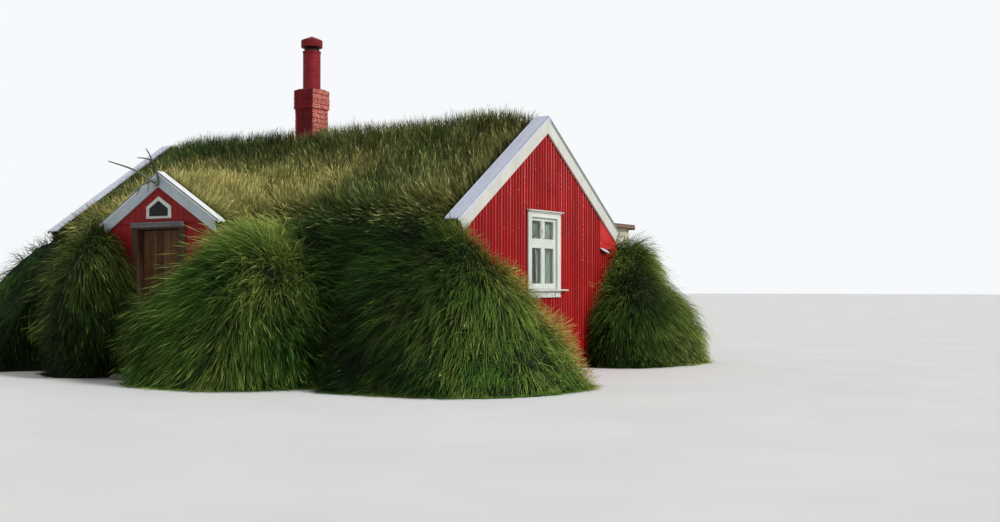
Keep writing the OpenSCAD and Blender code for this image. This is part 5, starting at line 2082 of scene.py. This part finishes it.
def finish_inside():
    """Plain boarding on the CAD nodes that are kept, most of them inside."""
    pale, dark = "#b0926a", "#7c5c3c"
    floor = plank_finish("floor_planks", "#967a5a", "#644c34", "Y", "X", 0.14)
    wall = plank_finish("wall_planks", pale, dark, "X", "Z")
    gable = plank_finish("gable_planks", pale, dark, "Y", "Z")
    roof = plank_finish("roof_planks", "#a08462", "#705438", "Y", "X", 0.13)
    beam = timber_finish("beams", "#967652", "#60462e", (30, 4, 30), 0.2)
    set_finish(floor, "main_floor", "porch_floor")
    set_finish(wall, "room_lining")
    set_finish(gable, "porch_lining", "gable_wall_left", "gable_wall_right")
    set_finish(roof, "roof_boards", "porch_roof_boards")
    set_finish(beam, "wall_plates", "rafters")


def make_gables():
    white = painted_finish("white_paint", "#d6d5cc", "#968e80", 0.66)
    cap = metal_finish("cap_metal", "#c6ccde", "#a8acb8")
    # On the verge caps the rear slope gets a dark green-grey as painted shade.
    rear_cap = metal_finish("verge_cap", "#c6ccde", "#a8acb8", "#687a68")
    red, dirt = "#c62224", "#961e1e"
    patch = painted_finish("patch_paint", red, "#e4c8c0", 0.64, (20, 20, 5), dirt)
    sheet = iron_sheet_finish()
    make_gable_sheets(sheet)
    make_gable_fixings(sheet, patch, cap)
    make_verges(white, rear_cap)


def make_openings(white):
    clear = glass_finish("glass", (0.86, 0.93, 0.9, 1), 0.5)
    # The porch pane is tinted dark, as painted shade for the dim porch behind it.
    dark = glass_finish("porch_glass", (0.3, 0.36, 0.32, 1), 0.25)
    make_windows(white, clear, dark)
    make_curtains(cloth_finish())


def make_porch(window_white):
    # The porch's white is a darker, bluer copy of the gables' white, as painted shade on the front; its
    # red is darkened too, partly as painted shade.
    white = painted_finish("porch_white", "#bcc8d0", "#8c8c88", 0.68)
    cap = metal_finish("porch_cap", "#e8ecf0", "#c4c8cc")
    red, dirt = "#8c090c", "#541012"
    boards = painted_finish("red_paint", red, "#54221c", 0.7, (20, 20, 3), dirt)
    sign = timber_finish("sign_wood", "#848284", "#4c4a4e", (4, 30, 60), 0.3)
    grey = timber_finish("frame_wood", "#584432", "#2e221a", (40, 40, 3), 0.25)
    brown = timber_finish("door_wood", "#7a5636", "#28160c", (46, 46, 3), 0.3)
    make_porch_boards(boards)
    make_porch_verges(white, cap)
    make_porch_window(window_white)
    make_sign(sign)
    make_door_frame(grey, brown)
    make_door(brown)
    set_finish(iron_finish(), "door_iron", "hinge_pins")
    make_antlers(bone_finish())


def make_masonry():
    pale, deep, worn = "#d2524c", "#9c2c2c", "#ecb8a4"
    bricks = masonry_finish("red_bricks", pale, deep, worn, 0.5, 0.016)
    # The blocks on the ±Y faces take a darker red than the bricks, as painted shade on those faces.
    pale, deep, worn = "#861c26", "#64121a", "#a05450"
    blocks = masonry_finish("red_blocks", pale, deep, worn, 0.7, 0.003)
    make_chimney(bricks, blocks, pipe_finish())


def make_rear():
    pale = painted_finish("annexe_paint", "#ded6be", "#8c806c", 0.68, (3, 30, 30))
    inside = plank_finish("annexe_inside", "#c4b89c", "#96886c", "X", "Z")
    red, dirt = "#8e4e44", "#54322e"
    fascia = painted_finish("fascia_paint", red, "#78685e", 0.58, (3, 30, 30), dirt)
    set_finish(inside, "annexe_walls")
    make_annexe(pale, felt_finish(), fascia)


def make_hard_parts():
    window_white = painted_finish("window_paint", "#d8ddd4", "#848070", 0.66, (20, 20, 6))
    make_gables()
    make_openings(window_white)
    make_porch(window_white)
    make_masonry()
    make_rear()
    make_doorstep(stone_finish())
    finish_inside()


make_camera()
make_sun()
make_sky()
make_floor()
make_hard_parts()
make_turf()
